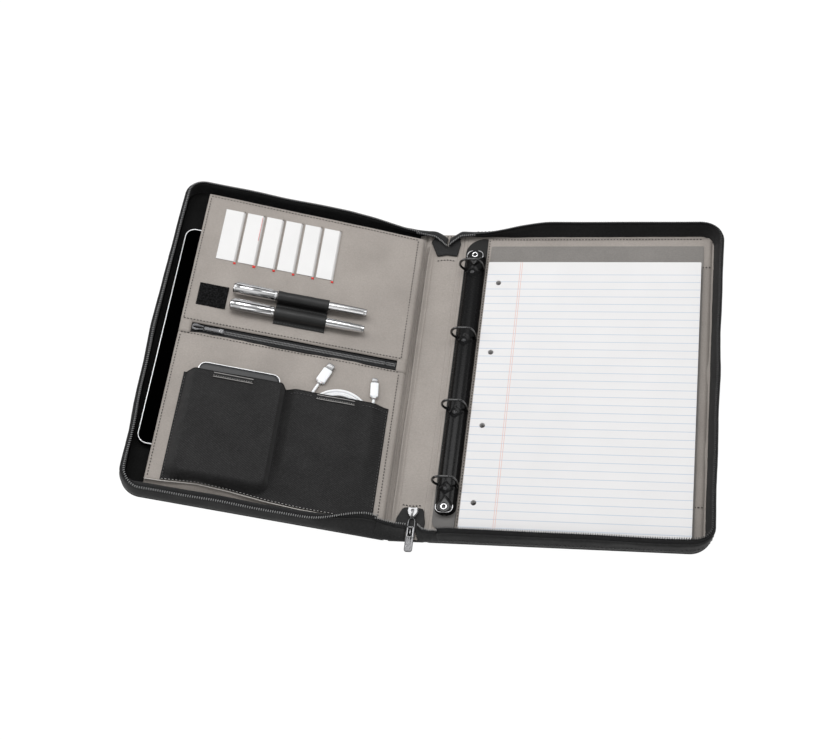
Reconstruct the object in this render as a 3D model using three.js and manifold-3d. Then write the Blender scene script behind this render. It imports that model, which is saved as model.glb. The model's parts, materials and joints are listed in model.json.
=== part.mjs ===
// Zip-round A4 portfolio case with a four-ring binder, lying open with its contents in place.
// Millimetres, +Z up. The origin is the centre of the back cover's underside.
// The back cover lies flat on +X, the spine is on its -X side, and the front cover rises from
// the spine at rest_tilt. The front cover's pieces are built in its own frame: x = -(distance
// from its hinge), y along the spine, z = height above the lining, on the hinge axis.

import * as THREE from 'three';
import { mergeVertices } from 'three/addons/utils/BufferGeometryUtils.js';
import Module from 'manifold-3d';

const wasm = await Module();
wasm.setup();

// ---------------------------------------------------------------- driving dimensions
const gap = 0.3;                    // between touching solids
const cover_width = 258;            // hinge line to outer edge
const cover_length = 345;           // along the spine
const spine_width = 38;             // between the two hinge lines
const rest_tilt = 20;               // degrees, front cover above flat
const corner_radius = 20;

const board_thickness = 2.6;
const lining_bottom = board_thickness + gap;
const lining_top = 4;               // also the height of both hinge axes
const wall_rise = 14.6;             // fabric gusset wall
const chain_rise = 3.4;             // zip tape and teeth on top of the wall

const ring_pitch = 80;              // standard four-hole filing pitch
const ring_count = 4;
const ring_wire = 2.4;              // diameter
const first_ring_y = -116.5;
const binder_x = -113.7;            // centre line of the ring mechanism

const pad_width = 210;
const pad_length = 293;
const pad_hole_radius = 2.75;
const pad_hole_inset = 12;

const card_width = 59;
const card_pitch = 19.6;
const card_count = 6;

const cable_diameter = 2.8;

const half_length = cover_length / 2;
const back_edge = cover_width / 2;              // outer edge of the back cover
const back_hinge_x = -cover_width / 2;
const front_hinge_x = back_hinge_x - spine_width;

// ---------------------------------------------------------------- materials
function finish(color, roughness, metalness = 0) {
  return new THREE.MeshStandardMaterial({ color, roughness, metalness });
}

const black_fabric = finish(0x1d1d1f, 0.85);
const grey_lining = finish(0x97908a, 0.75);
const dark_strip = finish(0x55524f, 0.6);
const black_enamel = finish(0x0c0c0d, 0.2, 0.3);
const bright_metal = finish(0xc9c9cb, 0.25, 1);
const black_hook = finish(0x141416, 0.95);
const paper_white = finish(0xf1efee, 0.9);
const board_grey = finish(0x6f6b68, 0.8);
const white_plastic = finish(0xf3f3f3, 0.4);
const dark_shell = finish(0x3a3b3d, 0.35, 0.2);
const black_glass = finish(0x050506, 0.08);
const zip_nylon = finish(0x202022, 0.6);

// ---------------------------------------------------------------- shape helpers
function shapeOf(points) {
  return new THREE.Shape(points.map(([x, y]) => new THREE.Vector2(x, y)));
}

// A flat piece: an outline in the XY plane between two heights.
function slab(shape, bottom, top, curveSegments = 6) {
  const geometry = new THREE.ExtrudeGeometry(shape, {
    depth: top - bottom, bevelEnabled: false, curveSegments,
  });
  geometry.translate(0, 0, bottom);
  return geometry;
}

// A section in the XZ plane, drawn out along Y.
function drawnOut(shape, low_y, high_y, curveSegments = 6) {
  const geometry = new THREE.ExtrudeGeometry(shape, {
    depth: high_y - low_y, bevelEnabled: false, curveSegments,
  });
  geometry.rotateX(Math.PI / 2);
  geometry.translate(0, high_y, 0);
  return geometry;
}

// A rectangle with its own radius at each corner: low-x low-y first, anticlockwise.
function roundedRectangle(low_x, low_y, high_x, high_y, radii) {
  const [a, b, c, d] = radii;
  const shape = new THREE.Shape();
  shape.moveTo(low_x + a, low_y);
  shape.lineTo(high_x - b, low_y);
  shape.absarc(high_x - b, low_y + b, b, -Math.PI / 2, 0, false);
  shape.lineTo(high_x, high_y - c);
  shape.absarc(high_x - c, high_y - c, c, 0, Math.PI / 2, false);
  shape.lineTo(low_x + d, high_y);
  shape.absarc(low_x + d, high_y - d, d, Math.PI / 2, Math.PI, false);
  shape.lineTo(low_x, low_y + a);
  shape.absarc(low_x + a, low_y + a, a, Math.PI, 1.5 * Math.PI, false);
  return shape;
}

function box(low, high) {
  const size = high.map((value, axis) => value - low[axis]);
  const geometry = new THREE.BoxGeometry(...size);
  geometry.translate(...high.map((value, axis) => (value + low[axis]) / 2));
  return geometry;
}

// A round wire or cord along a smooth curve through the given points.
function wire(points, diameter, steps, sides = 8) {
  const path = new THREE.CatmullRomCurve3(points.map((point) => new THREE.Vector3(...point)));
  const section = new THREE.Shape();
  for (let side = 0; side <= sides; side += 1) {
    const angle = (2 * Math.PI * side) / sides;
    const x = (diameter / 2) * Math.cos(angle);
    const y = (diameter / 2) * Math.sin(angle);
    if (side === 0) section.moveTo(x, y);
    else if (side < sides) section.lineTo(x, y);
  }
  return new THREE.ExtrudeGeometry(section, { steps, extrudePath: path, bevelEnabled: false });
}

// A closed body through a row of equal sections, with flat ends.
function loft(sections) {
  const corners = sections[0].length;
  const triangles = [];
  const at = (row, corner) => sections[row][corner % corners];
  for (let row = 0; row < sections.length - 1; row += 1) {
    for (let corner = 0; corner < corners; corner += 1) {
      triangles.push([at(row, corner), at(row + 1, corner), at(row + 1, corner + 1)]);
      triangles.push([at(row, corner), at(row + 1, corner + 1), at(row, corner + 1)]);
    }
  }
  const last = sections.length - 1;
  for (let corner = 1; corner < corners - 1; corner += 1) {
    triangles.push([at(0, 0), at(0, corner), at(0, corner + 1)]);
    triangles.push([at(last, 0), at(last, corner + 1), at(last, corner)]);
  }
  let volume = 0;
  for (const [a, b, c] of triangles) {
    volume += new THREE.Vector3(...a).dot(new THREE.Vector3(...b).cross(new THREE.Vector3(...c)));
  }
  const ordered = volume < 0 ? triangles.map(([a, b, c]) => [a, c, b]) : triangles;
  const geometry = new THREE.BufferGeometry();
  geometry.setAttribute('position', new THREE.Float32BufferAttribute(ordered.flat(2), 3));
  return geometry;
}

function toSolid(geometry) {
  const plain = geometry.clone();
  plain.deleteAttribute('normal');
  plain.deleteAttribute('uv');
  const merged = mergeVertices(plain, 1e-4);
  return new wasm.Manifold(new wasm.Mesh({
    numProp: 3,
    vertProperties: new Float32Array(merged.attributes.position.array),
    triVerts: new Uint32Array(merged.index.array),
  }));
}

function toGeometry(solid) {
  const mesh = solid.getMesh();
  const geometry = new THREE.BufferGeometry();
  geometry.setAttribute('position', new THREE.BufferAttribute(mesh.vertProperties, 3));
  geometry.setIndex(new THREE.BufferAttribute(mesh.triVerts, 1));
  return geometry;
}

function cut(geometry, tools) {
  let solid = toSolid(geometry);
  for (const tool of tools) solid = solid.subtract(toSolid(tool));
  return toGeometry(solid);
}

function join(geometries) {
  let solid = toSolid(geometries[0]);
  for (const other of geometries.slice(1)) solid = solid.add(toSolid(other));
  return toGeometry(solid);
}

function addPiece(group, name, geometry, material) {
  const mesh = new THREE.Mesh(geometry, material);
  mesh.name = name;
  group.add(mesh);
  return mesh;
}

// ---------------------------------------------------------------- covers
// Both covers share one outline in a frame whose x is the distance from the hinge line.
// The near wall keeps its height up to the spine; the far wall falls away towards it.
const near_rises = [[12, 0.85], [22, 1]];
const far_rises = [[12, 0.38], [24, 0.46], [38, 0.6], [58, 0.82], [85, 1]];
const corner_steps = 5;

function rimStations() {
  const stations = [];
  for (const [distance, rise] of near_rises) {
    stations.push({ at: (inset) => [distance, inset - half_length], rise });
  }
  const centre_x = cover_width - corner_radius;
  const centre_y = half_length - corner_radius;
  for (const side of [-1, 1]) {
    for (let step = 0; step <= corner_steps; step += 1) {
      const share = (Math.PI / 2) * (step / corner_steps);
      const angle = side < 0 ? share - Math.PI / 2 : share;
      stations.push({
        at: (inset) => [
          centre_x + (corner_radius - inset) * Math.cos(angle),
          side * centre_y + (corner_radius - inset) * Math.sin(angle),
        ],
        rise: 1,
      });
    }
  }
  for (const [distance, rise] of [...far_rises].reverse()) {
    stations.push({ at: (inset) => [distance, half_length - inset], rise });
  }
  return stations;
}

// A strip round the three free edges of a cover. Each corner of its section has an inset from
// the outer edge, a fixed height, and a height that falls with the wall at the spine.
function rimStrip(section, place) {
  return loft(rimStations().map(({ at, rise }) => section.map(({ inset, fixed, scaled }) => {
    const [distance, y] = at(inset);
    return place(distance, y, fixed + scaled * rise);
  })));
}

const wall_section = [
  { inset: 0, fixed: lining_bottom, scaled: 0 },
  { inset: 2.6, fixed: lining_bottom, scaled: 0 },
  { inset: 5, fixed: lining_bottom, scaled: wall_rise },
  { inset: 2.4, fixed: lining_bottom, scaled: wall_rise },
];
const chain_section = [
  { inset: 2.7, fixed: lining_bottom + gap, scaled: wall_rise },
  { inset: 6.4, fixed: lining_bottom + gap, scaled: wall_rise },
  { inset: 6.4, fixed: lining_bottom + gap + chain_rise, scaled: wall_rise },
  { inset: 3.2, fixed: lining_bottom + gap + chain_rise, scaled: wall_rise },
];
const lining_inset = 3.4;
const hinge_clearance = 0.5;

// Shell board, lining, gusset wall and zip half of one cover. toward is +1 where the cover
// runs to +X from its hinge and -1 where it runs to -X; drop is the hinge axis height that
// the cover's own frame starts from.
function addCover(group, prefix, hinge_x, toward, drop) {
  const place = (distance, y, z) => [hinge_x + toward * distance, y, z - drop];
  const outline = (inset, start, outer, hinge_radius) => {
    const low_x = toward > 0 ? hinge_x + start : hinge_x - cover_width + inset;
    const high_x = toward > 0 ? hinge_x + cover_width - inset : hinge_x - start;
    const low_y = inset - half_length;
    const radii = toward > 0
      ? [hinge_radius, outer, outer, hinge_radius]
      : [outer, hinge_radius, hinge_radius, outer];
    return roundedRectangle(low_x, low_y, high_x, -low_y, radii);
  };
  const shell = outline(0, hinge_clearance, corner_radius, 3);
  addPiece(group, `${prefix}_cover_shell`, slab(shell, -drop, board_thickness - drop),
    black_fabric);
  const lining = outline(lining_inset, hinge_clearance, corner_radius - lining_inset, 2);
  addPiece(group, `${prefix}_cover_lining`, slab(lining, lining_bottom - drop, lining_top - drop),
    grey_lining);
  addPiece(group, `${prefix}_gusset_wall`, rimStrip(wall_section, place), black_fabric);
  addPiece(group, `${prefix}_zip_chain`, rimStrip(chain_section, place), zip_nylon);
}

// ---------------------------------------------------------------- spine
const tab_bottom = lining_top + gap;
const tab_top = tab_bottom + 2.5;

function addSpine(group) {
  const low_x = front_hinge_x + hinge_clearance;
  const high_x = back_hinge_x - hinge_clearance;
  const board = roundedRectangle(low_x, -half_length, high_x, half_length, [3, 3, 3, 3]);
  addPiece(group, 'spine_shell', slab(board, 0, board_thickness), black_fabric);
  const lining = roundedRectangle(low_x, 1 - half_length, high_x, half_length - 1, [2, 2, 2, 2]);
  addPiece(group, 'spine_lining', slab(lining, lining_bottom, lining_top), grey_lining);

  // Each end of the zip is sewn to the spine by a forked fabric tab.
  const near_tab = shapeOf([
    [-155.5, -140.5], [-160, -155], [-159, -171], [-151.5, -171], [-149, -164],
    [-139.5, -164], [-137, -171], [-132.5, -171], [-131, -155], [-134, -140.5],
  ]);
  addPiece(group, 'near_zip_end_tab', slab(near_tab, tab_bottom, tab_top), black_fabric);
  const far_tab = shapeOf([
    [-155, 140.6], [-133.5, 140.6], [-131, 158], [-134, 167],
    [-144.5, 152], [-158.5, 168], [-163, 158],
  ]);
  addPiece(group, 'far_zip_end_tab', slab(far_tab, tab_bottom, tab_top), black_fabric);
}

// The parked slider of the outer zip, and its pull, which lies out over the spine's near end.
const slider_x = -143.4;
const slider_bottom = tab_top + gap;
const pull_hinge_y = -152.5;
const pull_hinge_z = slider_bottom + 0.6;

function addOuterSlider(group, pull_group) {
  const body = new THREE.Shape();
  body.moveTo(slider_x - 3.6, -141);
  body.lineTo(slider_x + 3.6, -141);
  body.quadraticCurveTo(slider_x + 5.6, -145.5, slider_x + 2.2, -150);
  body.lineTo(slider_x - 2.2, -150);
  body.quadraticCurveTo(slider_x - 5.6, -145.5, slider_x - 3.6, -141);
  addPiece(group, 'outer_zip_slider', slab(body, slider_bottom, slider_bottom + 2.6),
    bright_metal);
  const pull = roundedRectangle(slider_x - 4.1, -185, slider_x + 4.1, -151, [2, 2, 1, 1]);
  const eye = roundedRectangle(slider_x - 1.9, -159, slider_x + 1.9, -153, [0.8, 0.8, 0.8, 0.8]);
  pull.holes.push(new THREE.Path(eye.getPoints(4).reverse()));
  addPiece(pull_group, 'outer_zip_pull', slab(pull, slider_bottom, slider_bottom + 1.2, 4),
    bright_metal);
}

// ---------------------------------------------------------------- ring mechanism
const strip_top = 5.8;
const blade_bottom = 6.5;
const blade_top = 7.3;
const blade_reach = 7.2;            // from the binder's centre line
const plate_half_width = 10;
const plate_low_y = -147;
const plate_high_y = 143;
const plate_base = strip_top + gap;
const plate_crown = 12;
const plate_sheet = 0.9;

function arcBand(half_width, base, crown, thickness, steps) {
  const rise = crown - base;
  const radius = (half_width ** 2 + rise ** 2) / (2 * rise);
  const centre_z = crown - radius;
  const points = [];
  const half_angle = Math.asin(half_width / radius);
  for (let step = 0; step <= steps; step += 1) {
    const angle = half_angle - (2 * half_angle * step) / steps;
    points.push([radius * Math.sin(angle), centre_z + radius * Math.cos(angle)]);
  }
  const inner_radius = radius - thickness;
  const inner_angle = Math.acos((base - centre_z) / inner_radius);
  for (let step = 0; step <= steps; step += 1) {
    const angle = -inner_angle + (2 * inner_angle * step) / steps;
    points.push([inner_radius * Math.sin(angle), centre_z + inner_radius * Math.cos(angle)]);
  }
  return points;
}

function ringRows() {
  return Array.from({ length: ring_count }, (_, row) => first_ring_y + ring_pitch * row);
}

function addRingPlate(group) {
  const section = arcBand(plate_half_width, plate_base, plate_crown, plate_sheet, 10)
    .map(([x, z]) => [binder_x + x, z]);
  const plate = drawnOut(shapeOf(section), plate_low_y, plate_high_y);
  const notch_half = ring_wire / 2 + 0.9;
  const notches = [];
  for (const y of ringRows()) {
    for (const side of [-1, 1]) {
      const inner = binder_x + side * 7.6;
      const outer = binder_x + side * 12;
      notches.push(box(
        [Math.min(inner, outer), y - notch_half, plate_base - 1],
        [Math.max(inner, outer), y + notch_half, plate_base + 3.6],
      ));
    }
  }
  addPiece(group, 'ring_cover_plate', cut(plate, notches), black_enamel);
}

// Half rings in the XZ plane, from the binder's centre line: a D with its long curved side on
// the spine side and a leaning post on the pad side. They meet above the post's elbow.
const curved_half = [
  [-9.3, 7.1], [-11.2, 8.4], [-13.1, 12], [-13.5, 16.5], [-12.3, 21], [-9.4, 24.8],
  [-5.6, 26.4], [-2, 26.6], [3.6, 26.6],
];
const post_half = [
  [9.3, 7.1], [9.6, 9.5], [9.5, 14], [9, 19], [7.6, 23.6], [5.8, 26], [4.2, 26.6],
];

function addRings(left_group, right_group) {
  const low_y = first_ring_y - 12;
  const high_y = first_ring_y + ring_pitch * (ring_count - 1) + 12;
  for (const [group, side, word, half] of [
    [left_group, -1, 'left', curved_half], [right_group, 1, 'right', post_half],
  ]) {
    const inner = binder_x + side * gap;
    const outer = binder_x + side * blade_reach;
    addPiece(group, `${word}_ring_blade`, box(
      [Math.min(inner, outer), low_y, blade_bottom],
      [Math.max(inner, outer), high_y, blade_top],
    ), bright_metal);
    ringRows().forEach((y, row) => {
      const points = half.map(([x, z]) => [binder_x + x, y, z]);
      addPiece(group, `${word}_half_ring_${row + 1}`, wire(points, ring_wire, 12), bright_metal);
    });
  }
}

// A teardrop lever lies on each end of the plate and lifts by its outer end.
const lever_bottom = plate_crown + gap;
const lever_thickness = 1.6;
const lever_length = 17;
const lever_half_width = 8;

function leverShape(outer_y, inward) {
  const shape = new THREE.Shape();
  const wide_y = outer_y + inward * 6.5;
  const tip_y = outer_y + inward * lever_length;
  shape.moveTo(binder_x - 3.5, outer_y);
  shape.lineTo(binder_x + 3.5, outer_y);
  shape.quadraticCurveTo(binder_x + lever_half_width, outer_y, binder_x + lever_half_width, wide_y);
  shape.quadraticCurveTo(binder_x + 6.8, tip_y - inward * 2.5, binder_x, tip_y);
  shape.quadraticCurveTo(binder_x - 6.8, tip_y - inward * 2.5, binder_x - lever_half_width, wide_y);
  shape.quadraticCurveTo(binder_x - lever_half_width, outer_y, binder_x - 3.5, outer_y);
  return shape;
}

function addLevers(near_group, far_group) {
  const top = lever_bottom + lever_thickness;
  addPiece(near_group, 'near_ring_lever', slab(leverShape(plate_low_y + 0.5, 1), lever_bottom, top),
    black_enamel);
  addPiece(far_group, 'far_ring_lever', slab(leverShape(plate_high_y - 0.5, -1), lever_bottom, top),
    black_enamel);
}

// ---------------------------------------------------------------- back cover interior
const pocket_panel_bottom = lining_top + gap;
const pocket_panel_top = pocket_panel_bottom + 0.8;
const backing_bottom = pocket_panel_top + gap;
const backing_top = backing_bottom + 0.8;
const sheets_bottom = backing_top + gap;
const sheets_top = sheets_bottom + 7.3;
const pad_left = -98.5;
const pad_low_y = -164.5;
const pad_first_hole_y = -136.3;
const backing_high_y = 152.5;

function addBackInterior(group) {
  const panel = roundedRectangle(-103.2, -165, 121, 163, [3, 12, 12, 3]);
  addPiece(group, 'pad_pocket_panel', slab(panel, pocket_panel_bottom, pocket_panel_top),
    grey_lining);
  const strip = roundedRectangle(binder_x - 11.3, -160, -103.6, 162, [8, 1, 1, 18]);
  addPiece(group, 'ring_mount_strip', slab(strip, lining_top + gap, strip_top), dark_strip);

  const backing = roundedRectangle(pad_left - 0.6, pad_low_y, pad_left + pad_width + 1.6,
    backing_high_y, [3, 3, 1, 1.5]);
  addPiece(group, 'pad_backing_board', slab(backing, backing_bottom, backing_top), board_grey);

  const sheets = roundedRectangle(pad_left, pad_low_y, pad_left + pad_width,
    pad_low_y + pad_length, [4, 1, 1, 1]);
  for (let row = 0; row < ring_count; row += 1) {
    const hole = new THREE.Path();
    hole.absarc(pad_left + pad_hole_inset, pad_first_hole_y + row * ring_pitch,
      pad_hole_radius, 0, 2 * Math.PI, true);
    sheets.holes.push(hole);
  }
  addPiece(group, 'writing_pad', slab(sheets, sheets_bottom, sheets_top), paper_white);
}

// ---------------------------------------------------------------- front cover interior
// In this section s is the distance from the front hinge line, so x = -s.
const tablet_bottom = 1.6;
const tablet_top = 7.8;
const upper_bottom = 11.5;          // organiser panel above the inner zip
const upper_top = 12.7;
const lower_bottom = 8.6;           // organiser panel below the inner zip
const lower_top = 9.8;
const panel_start = 3.5;
const panel_end = 227;
const zip_low_y = -1.2;
const zip_high_y = 10.2;
const panel_low_y = -158.5;
const panel_high_y = 152.4;

// The organiser's section: flat, with a rolled fold down to the lining at the spine.
function panelSection(bottom, top) {
  const roll = 5;
  const shape = new THREE.Shape();
  shape.moveTo(-panel_end, bottom);
  shape.lineTo(-panel_end, top);
  shape.lineTo(-(panel_start + roll), top);
  shape.quadraticCurveTo(-panel_start, top, -panel_start, top - roll);
  shape.lineTo(-panel_start, gap);
  shape.lineTo(-(panel_start + top - bottom), gap);
  shape.lineTo(-(panel_start + top - bottom), bottom - roll + 1);
  shape.quadraticCurveTo(-(panel_start + top - bottom), bottom, -(panel_start + roll), bottom);
  return shape;
}

const card_low_y = 84;
const first_slit = 188.5;
const slit_half = 1.9;
const card_thickness = 0.4;

function slitPositions() {
  return Array.from({ length: card_count }, (_, index) => first_slit - card_pitch * index);
}

function addOrganiser(group) {
  const slits = slitPositions().map((s) => box(
    [-(s + slit_half), card_low_y - 0.7, upper_bottom - 2],
    [-(s - slit_half), card_low_y + card_width + 0.7, upper_top + 2],
  ));
  const upper = drawnOut(panelSection(upper_bottom, upper_top), zip_high_y, panel_high_y);
  addPiece(group, 'organiser_panel_upper', cut(upper, slits), grey_lining);
  const lower = drawnOut(panelSection(lower_bottom, lower_top), panel_low_y, zip_low_y);
  addPiece(group, 'organiser_panel_lower', lower, grey_lining);
}

// Each card shows at the panel's surface on the outer side of its slit, dips through the
// slit and slopes down under the panel towards the spine.
function addCards(group) {
  const show = 16.5;
  const first_show = 18.8;
  const hidden = 66;
  const top = upper_top + gap + card_thickness;
  const under = upper_bottom - gap;
  const fall = hidden * Math.tan(THREE.MathUtils.degToRad(2.1));
  slitPositions().forEach((s, index) => {
    const visible = index === 0 ? first_show : show;
    const outer = -(s + visible);
    const centre_line = [
      [outer, top], [-(s + 1.3), top], [-(s - 1.3), under], [-(s - 1.3 - hidden), under - fall],
    ];
    const lower_line = centre_line.map(([x, z]) => [x, z - card_thickness]).reverse();
    const card = drawnOut(shapeOf([...centre_line, ...lower_line]), card_low_y,
      card_low_y + card_width);
    addPiece(group, `card_${index + 1}`, card, paper_white);
  });
}

const pen_height = 19.6;
const pen_lines = { upper: 50.5, lower: 32 };
const pen_tip = 51.5;
const pen_join = 140.5;
const pen_tail = 184;
const cap_radius = 5.5;
const barrel_radius = 4.5;

function roundBar(profile, y) {
  const points = profile.map(([radius, along]) => new THREE.Vector2(radius, along));
  const bar = new THREE.LatheGeometry(points, 16);
  bar.rotateZ(Math.PI / 2);
  bar.translate(0, y, pen_height);
  return bar;
}

function addPen(group, word, y) {
  const barrel = roundBar([
    [0, pen_tip], [1.2, pen_tip], [barrel_radius - 0.4, pen_tip + 5], [barrel_radius, pen_tip + 12],
    [barrel_radius, pen_join - gap], [0, pen_join - gap],
  ], y);
  addPiece(group, `${word}_pen_barrel`, barrel, bright_metal);
  const cap = roundBar([
    [0, pen_join], [cap_radius, pen_join], [cap_radius, pen_tail - 1.2],
    [cap_radius - 1.2, pen_tail], [0, pen_tail],
  ], y);
  addPiece(group, `${word}_pen_cap`, cap, bright_metal);
}

// An elastic loop: two flat feet and an arch over the barrel.
function loopSection(y) {
  const inner = barrel_radius + 0.5;
  const outer = inner + 0.9;
  const foot = 8.9;
  const base = upper_top + gap;
  const shape = new THREE.Shape();
  shape.moveTo(y - foot, base);
  shape.lineTo(y - inner, base);
  shape.lineTo(y - inner, pen_height);
  shape.absarc(y, pen_height, inner, Math.PI, 0, true);
  shape.lineTo(y + inner, base);
  shape.lineTo(y + foot, base);
  shape.lineTo(y + foot, base + 0.9);
  shape.lineTo(y + outer + 1, base + 0.9);
  shape.lineTo(y + outer, base + 2.4);
  shape.lineTo(y + outer, pen_height);
  shape.absarc(y, pen_height, outer, 0, Math.PI, false);
  shape.lineTo(y - outer, base + 2.4);
  shape.lineTo(y - outer - 1, base + 0.9);
  shape.lineTo(y - foot, base + 0.9);
  return shape;
}

function addLoops(group) {
  const start = 89.7;
  const end = 139.7;
  for (const [word, y] of Object.entries(pen_lines)) {
    const loop = new THREE.ExtrudeGeometry(loopSection(y), {
      depth: end - start, bevelEnabled: false, curveSegments: 8,
    });
    loop.rotateX(Math.PI / 2);
    loop.rotateZ(Math.PI / 2);
    loop.translate(-end, 0, 0);
    addPiece(group, `${word}_pen_loop`, loop, black_fabric);
  }
}

const inner_slider_y = 4.5;
const inner_slider_bottom = 11.3;
const inner_pull_hinge = 203.2;

function addInnerZip(group, slider_group, pull_group) {
  const tape = shapeOf([
    [zip_low_y + gap, 8.9], [zip_high_y - gap, 8.9], [zip_high_y - gap, 9.7],
    [inner_slider_y + 1.7, 9.7], [inner_slider_y + 1.7, 11], [inner_slider_y - 1.7, 11],
    [inner_slider_y - 1.7, 9.7], [zip_low_y + gap, 9.7],
  ]);
  const length = 204;
  const chain = new THREE.ExtrudeGeometry(tape, { depth: length, bevelEnabled: false });
  chain.rotateX(Math.PI / 2);
  chain.rotateZ(Math.PI / 2);
  chain.translate(-12.7 - length, 0, 0);
  addPiece(group, 'inner_zip_chain', chain, zip_nylon);

  const slider = roundedRectangle(-215, inner_slider_y - 3.6, -204, inner_slider_y + 3.6,
    [1.5, 2.5, 2.5, 1.5]);
  addPiece(slider_group, 'inner_zip_slider', slab(slider, inner_slider_bottom,
    inner_slider_bottom + 2.2, 3), dark_shell);
  const pull = roundedRectangle(-203.7, inner_slider_y - 2.5, -184, inner_slider_y + 2.5,
    [1, 2, 2, 1]);
  addPiece(pull_group, 'inner_zip_pull', slab(pull, inner_slider_bottom,
    inner_slider_bottom + 1, 3), dark_shell);
}

const seam_s = 116;
const pocket_top_y = -45;
const pocket_low_y = -157.5;
const pocket_back = lower_top + gap;

// A fabric pocket open at its far end: an outer form less the space inside it.
function pocket(outer, inner, floor_y) {
  const solid = drawnOut(shapeOf(outer.map(([s, z]) => [-s, z])), pocket_low_y, pocket_top_y);
  const space = drawnOut(shapeOf(inner.map(([s, z]) => [-s, z])), floor_y, pocket_top_y + 5);
  return cut(solid, [space]);
}

function addPockets(group) {
  const bank_pocket = pocket([
    [210.5, pocket_back], [210.5, 19.5], [206, 24], [120.5, 24], [seam_s + 0.4, 19.5],
    [seam_s + 0.4, pocket_back],
  ], [
    [206, pocket_back - 1], [206, 20.4], [204, 22.8], [119.6, 22.8], [118, 20.4],
    [118, pocket_back - 1],
  ], -149);
  addPiece(group, 'power_bank_pocket', bank_pocket, black_fabric);
  const cable_pocket = pocket([
    [seam_s - 0.4, pocket_back], [seam_s - 0.4, 14], [104, 17.4], [28.5, 17.4], [24, 12.4],
    [16.8, 11.3], [16.8, pocket_back],
  ], [
    [112.5, pocket_back - 1], [112.5, 13.6], [103.4, 16.3], [29.2, 16.3], [25.5, 12],
    [25.5, pocket_back - 1],
  ], -155);
  addPiece(group, 'cable_pocket', cable_pocket, black_fabric);
}

function addPowerBank(group) {
  const bank = roundedRectangle(-200.5, -147.5, -121.5, -35, [7, 7, 7, 7]);
  addPiece(group, 'power_bank', slab(bank, lower_top + 2 * gap, lower_top + 2 * gap + 12),
    dark_shell);
}

// ---------------------------------------------------------------- charging cable
const cable_floor = lower_top + 2 * gap;
const cable_line = cable_floor + cable_diameter / 2;
const coil_centre = [-61.5, -66];
const coil_inner_radius = 24.1;
const coil_outer_radius = 32.5;

function connector(rear, front, half_width, tip_half_width, tip_length, thickness) {
  const direction = new THREE.Vector2(front[0] - rear[0], front[1] - rear[1]);
  const length = direction.length();
  const body = slab(roundedRectangle(-half_width, 0, half_width, length,
    [1.2, 1.2, 0.8, 0.8]), cable_floor, cable_floor + thickness, 3);
  const tip = box([-tip_half_width, length - 1, cable_floor + 0.8],
    [tip_half_width, length + tip_length, cable_floor + thickness - 0.8]);
  const whole = join([body, tip]);
  whole.rotateZ(direction.angle() - Math.PI / 2);
  whole.translate(rear[0], rear[1], 0);
  return whole;
}

// The route's points are the cable's centre line in the front cover's frame.
const wide_tail = [
  [-86.1, -32.6], [-87.4, -35.6], [-88.8, -39], [-90.2, -43], [-91.6, -47.6], [-92.9, -53],
];
const small_tail = [
  [-31.2, -38.2], [-31.4, -41], [-31.6, -44], [-31.4, -47], [-30.8, -50],
];

function addCable(group) {
  const lift = ([x, y]) => [x, y, cable_line];
  addPiece(group, 'wide_connector',
    connector([-85.8, -31.7], [-78.9, -15.5], 4.7, 3.6, 6.8, 4.4), white_plastic);
  addPiece(group, 'small_connector',
    connector([-31.2, -37.3], [-32.7, -20.4], 3.9, 2.7, 5.2, 4), white_plastic);
  addPiece(group, 'cable_wide_tail', wire(wide_tail.map(lift), cable_diameter, 5), white_plastic);
  addPiece(group, 'cable_small_tail', wire(small_tail.map(lift), cable_diameter, 4), white_plastic);
  const coil = new THREE.LatheGeometry([
    new THREE.Vector2(coil_inner_radius, cable_floor),
    new THREE.Vector2(coil_outer_radius, cable_floor),
    new THREE.Vector2(coil_outer_radius, cable_floor + 2 * cable_diameter - 0.2),
    new THREE.Vector2(coil_inner_radius, cable_floor + 2 * cable_diameter - 0.2),
    new THREE.Vector2(coil_inner_radius, cable_floor),
  ], 32);
  coil.rotateX(Math.PI / 2);
  coil.translate(coil_centre[0], coil_centre[1], 0);
  addPiece(group, 'cable_coil', coil, white_plastic);
}

// ---------------------------------------------------------------- assembly
const portfolio = new THREE.Group();

const back_cover = new THREE.Group();
portfolio.add(back_cover);
addCover(back_cover, 'back', back_hinge_x, 1, 0);
addBackInterior(back_cover);
addRingPlate(back_cover);
addRings(back_cover, back_cover);
addLevers(back_cover, back_cover);

const spine = new THREE.Group();
portfolio.add(spine);
addSpine(spine);
addOuterSlider(spine, spine);

const front_cover = new THREE.Group();
front_cover.position.set(front_hinge_x, 0, lining_top);
front_cover.rotation.y = THREE.MathUtils.degToRad(rest_tilt);
portfolio.add(front_cover);
addCover(front_cover, 'front', 0, -1, lining_top);
const sleeve = roundedRectangle(-249, -162, -6, 162, [13, 2, 2, 13]);
addPiece(front_cover, 'tablet_sleeve_lining', slab(sleeve, gap, 1.3), black_fabric);
const tablet = roundedRectangle(-241.7, -123.5, -72.2, 116.5, [10, 10, 10, 10]);
addPiece(front_cover, 'tablet', slab(tablet, tablet_bottom, tablet_top), black_glass);
addOrganiser(front_cover);
addCards(front_cover);
const patch = roundedRectangle(-216.5, 28.8, -188, 53.6, [0.8, 0.8, 0.8, 0.8]);
addPiece(front_cover, 'hook_and_loop_patch', slab(patch, upper_top + gap, upper_top + 1.1, 2),
  black_hook);
addLoops(front_cover);
for (const [word, y] of Object.entries(pen_lines)) addPen(front_cover, word, y);
addInnerZip(front_cover, front_cover, front_cover);
addPockets(front_cover);
addPowerBank(front_cover);
addCable(front_cover);

export default portfolio;
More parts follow.
